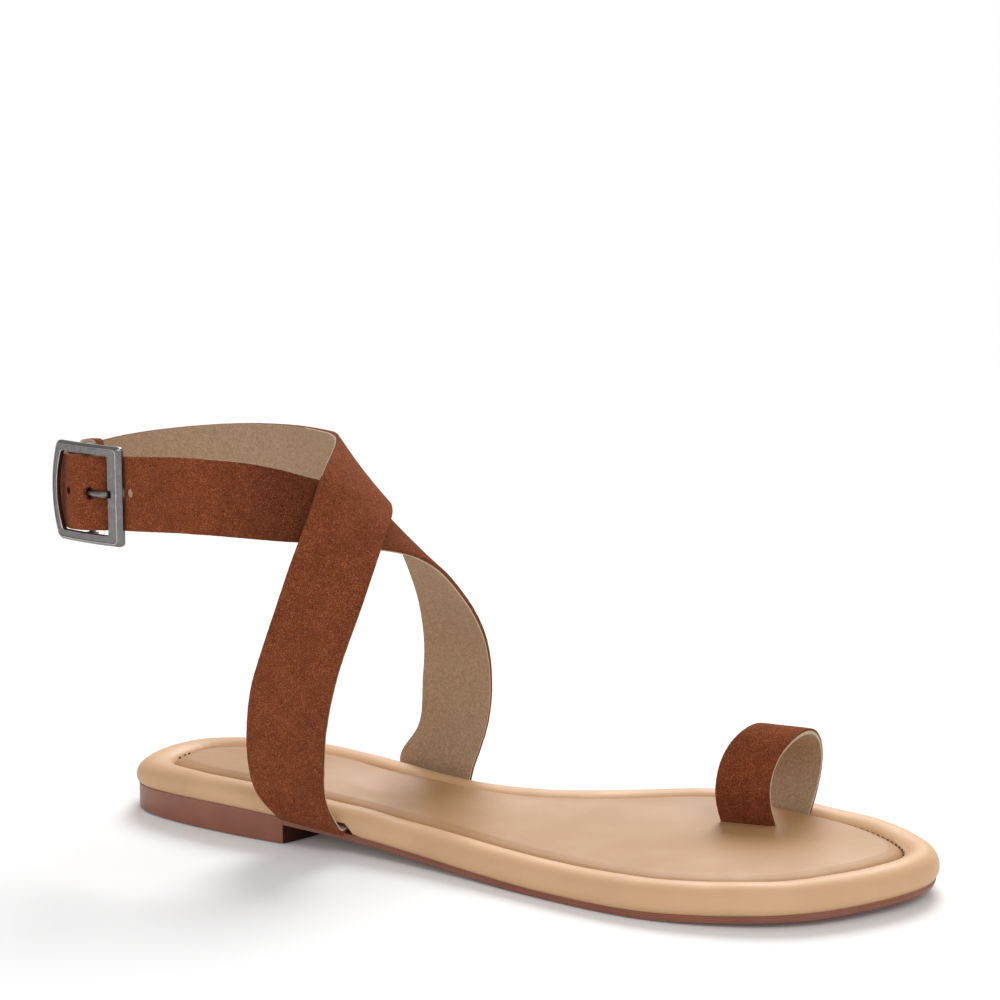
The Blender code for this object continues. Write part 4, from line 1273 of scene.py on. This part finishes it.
half_width, half_height = BUCKLE_SIZE[0] / 2.0, BUCKLE_SIZE[1] / 2.0
open_low, open_high, open_height = BUCKLE_OPENING
outer_corner, inner_corner = BUCKLE_CORNERS
outer = rounded_loop(-half_width, half_width, half_height, outer_corner, side_steps=16)
inner = rounded_loop(open_low, open_high, open_height / 2.0, inner_corner, side_steps=16)
mesh = bmesh.new()
rings = []
for share_in, lift, _rubbed in BUCKLE_SECTION:
    ring = []
    for (across_out, up_out), (across_in, up_in) in zip(outer, inner):
        if across_out < 0.0:
            across_out -= BUCKLE_SIDE_BOW[0] * (1.0 - (up_out / half_height) ** 2)
            across_in -= BUCKLE_SIDE_BOW[1] * max(1.0 - (2.0 * up_in / open_height) ** 2, 0.0)
        across = across_out + (across_in - across_out) * share_in
        up = up_out + (up_in - up_out) * share_in
        bowed = -BUCKLE_BOW * (across / half_width) ** 2
        ring.append(mesh.verts.new(buckle_point(across, up, bowed + lift)))
    rings.append(ring)
for first, second, (_share, _lift, worn) in zip(rings, rings[1:] + rings[:1], BUCKLE_SECTION):
    for face in join_rings(mesh, first, second):
        face.material_index = worn
notch = bmesh.new()
tip_x, tip_y = PRONG_TIP
lay_tube(
    notch,
    [(tip_x + along, tip_y, bar_z) for along in NOTCH_ENDS],
    (NOTCH_RADIUS, NOTCH_RADIUS), 20,
)
mesh = cut_away(mesh, notch)
across, depth = BAR_OFFSET
reach = half_height - BAR_END
ups = np.linspace(-reach, reach, 9)
bar_line = [buckle_point(across, up, -depth) for up in ups]
lay_tube(mesh, bar_line, [BAR_RADIUS] * len(bar_line), BAR_SIDES, up=(0.0, 1.0, 0.0))
for side in (1.0, -1.0):
    back, front = -depth - LUG_DEPTH[0], -LUG_DEPTH[1]
    lug = ((-LUG_HALF, back), (LUG_HALF, back), (LUG_HALF, front), (-LUG_HALF, front))
    ends = []
    for end in LUG_ENDS:
        up = side * (half_height - end)
        ends.append([buckle_point(across + wide, up, deep) for wide, deep in lug])
    lay_block(mesh, ends[0], ends[1])
buckle = make_piece(
    "cast_buckle", mesh, [pewter, bright_pewter], "buckle_frame", SOFT_ANGLE
)
soften = buckle.modifiers.new("soft edges", "BEVEL")
soften.width = SOFT_EDGE
soften.segments = 3
soften.limit_method = "ANGLE"
soften.angle_limit = math.radians(SOFT_ANGLE)

# Prong: a round pin of the same metal, hooked round the bar. It comes out through a hole of the
# strap, and its thicker end rests in the frame.
PRONG_RADIUS = 0.0010
PRONG_TURN = 0.0022
PRONG_SIDES = 20
PRONG_END = (
    # back from the tip, in from the tip, share of the radius
    (0.0048, 0.0004, 1.00),
    (0.0030, 0.0000, 1.00),
    (0.0012, -0.0001, 1.12),
    (0.0004, -0.0001, 0.95),
    (0.0000, 0.0000, 0.45),
)
route = []
for degrees in range(170, -71, -15):
    turn = math.radians(degrees)
    out_x, out_y = PRONG_TURN * math.cos(turn), PRONG_TURN * math.sin(turn)
    route.append((bar_x - out_x, bar_y + out_y, bar_z))
hole_x, hole_y = STRAP_HOLES[1][:2]
route.append((hole_x, hole_y, bar_z))
radii = [PRONG_RADIUS] * len(route)
for back, inward, share_left in PRONG_END:
    route.append((tip_x - back, tip_y + inward, bar_z))
    radii.append(PRONG_RADIUS * share_left)
mesh = bmesh.new()
lay_tube(mesh, route, radii, PRONG_SIDES)
make_piece("pewter_prong", mesh, [pewter], "buckle_prong", 50.0)

low, high = cad_bounds
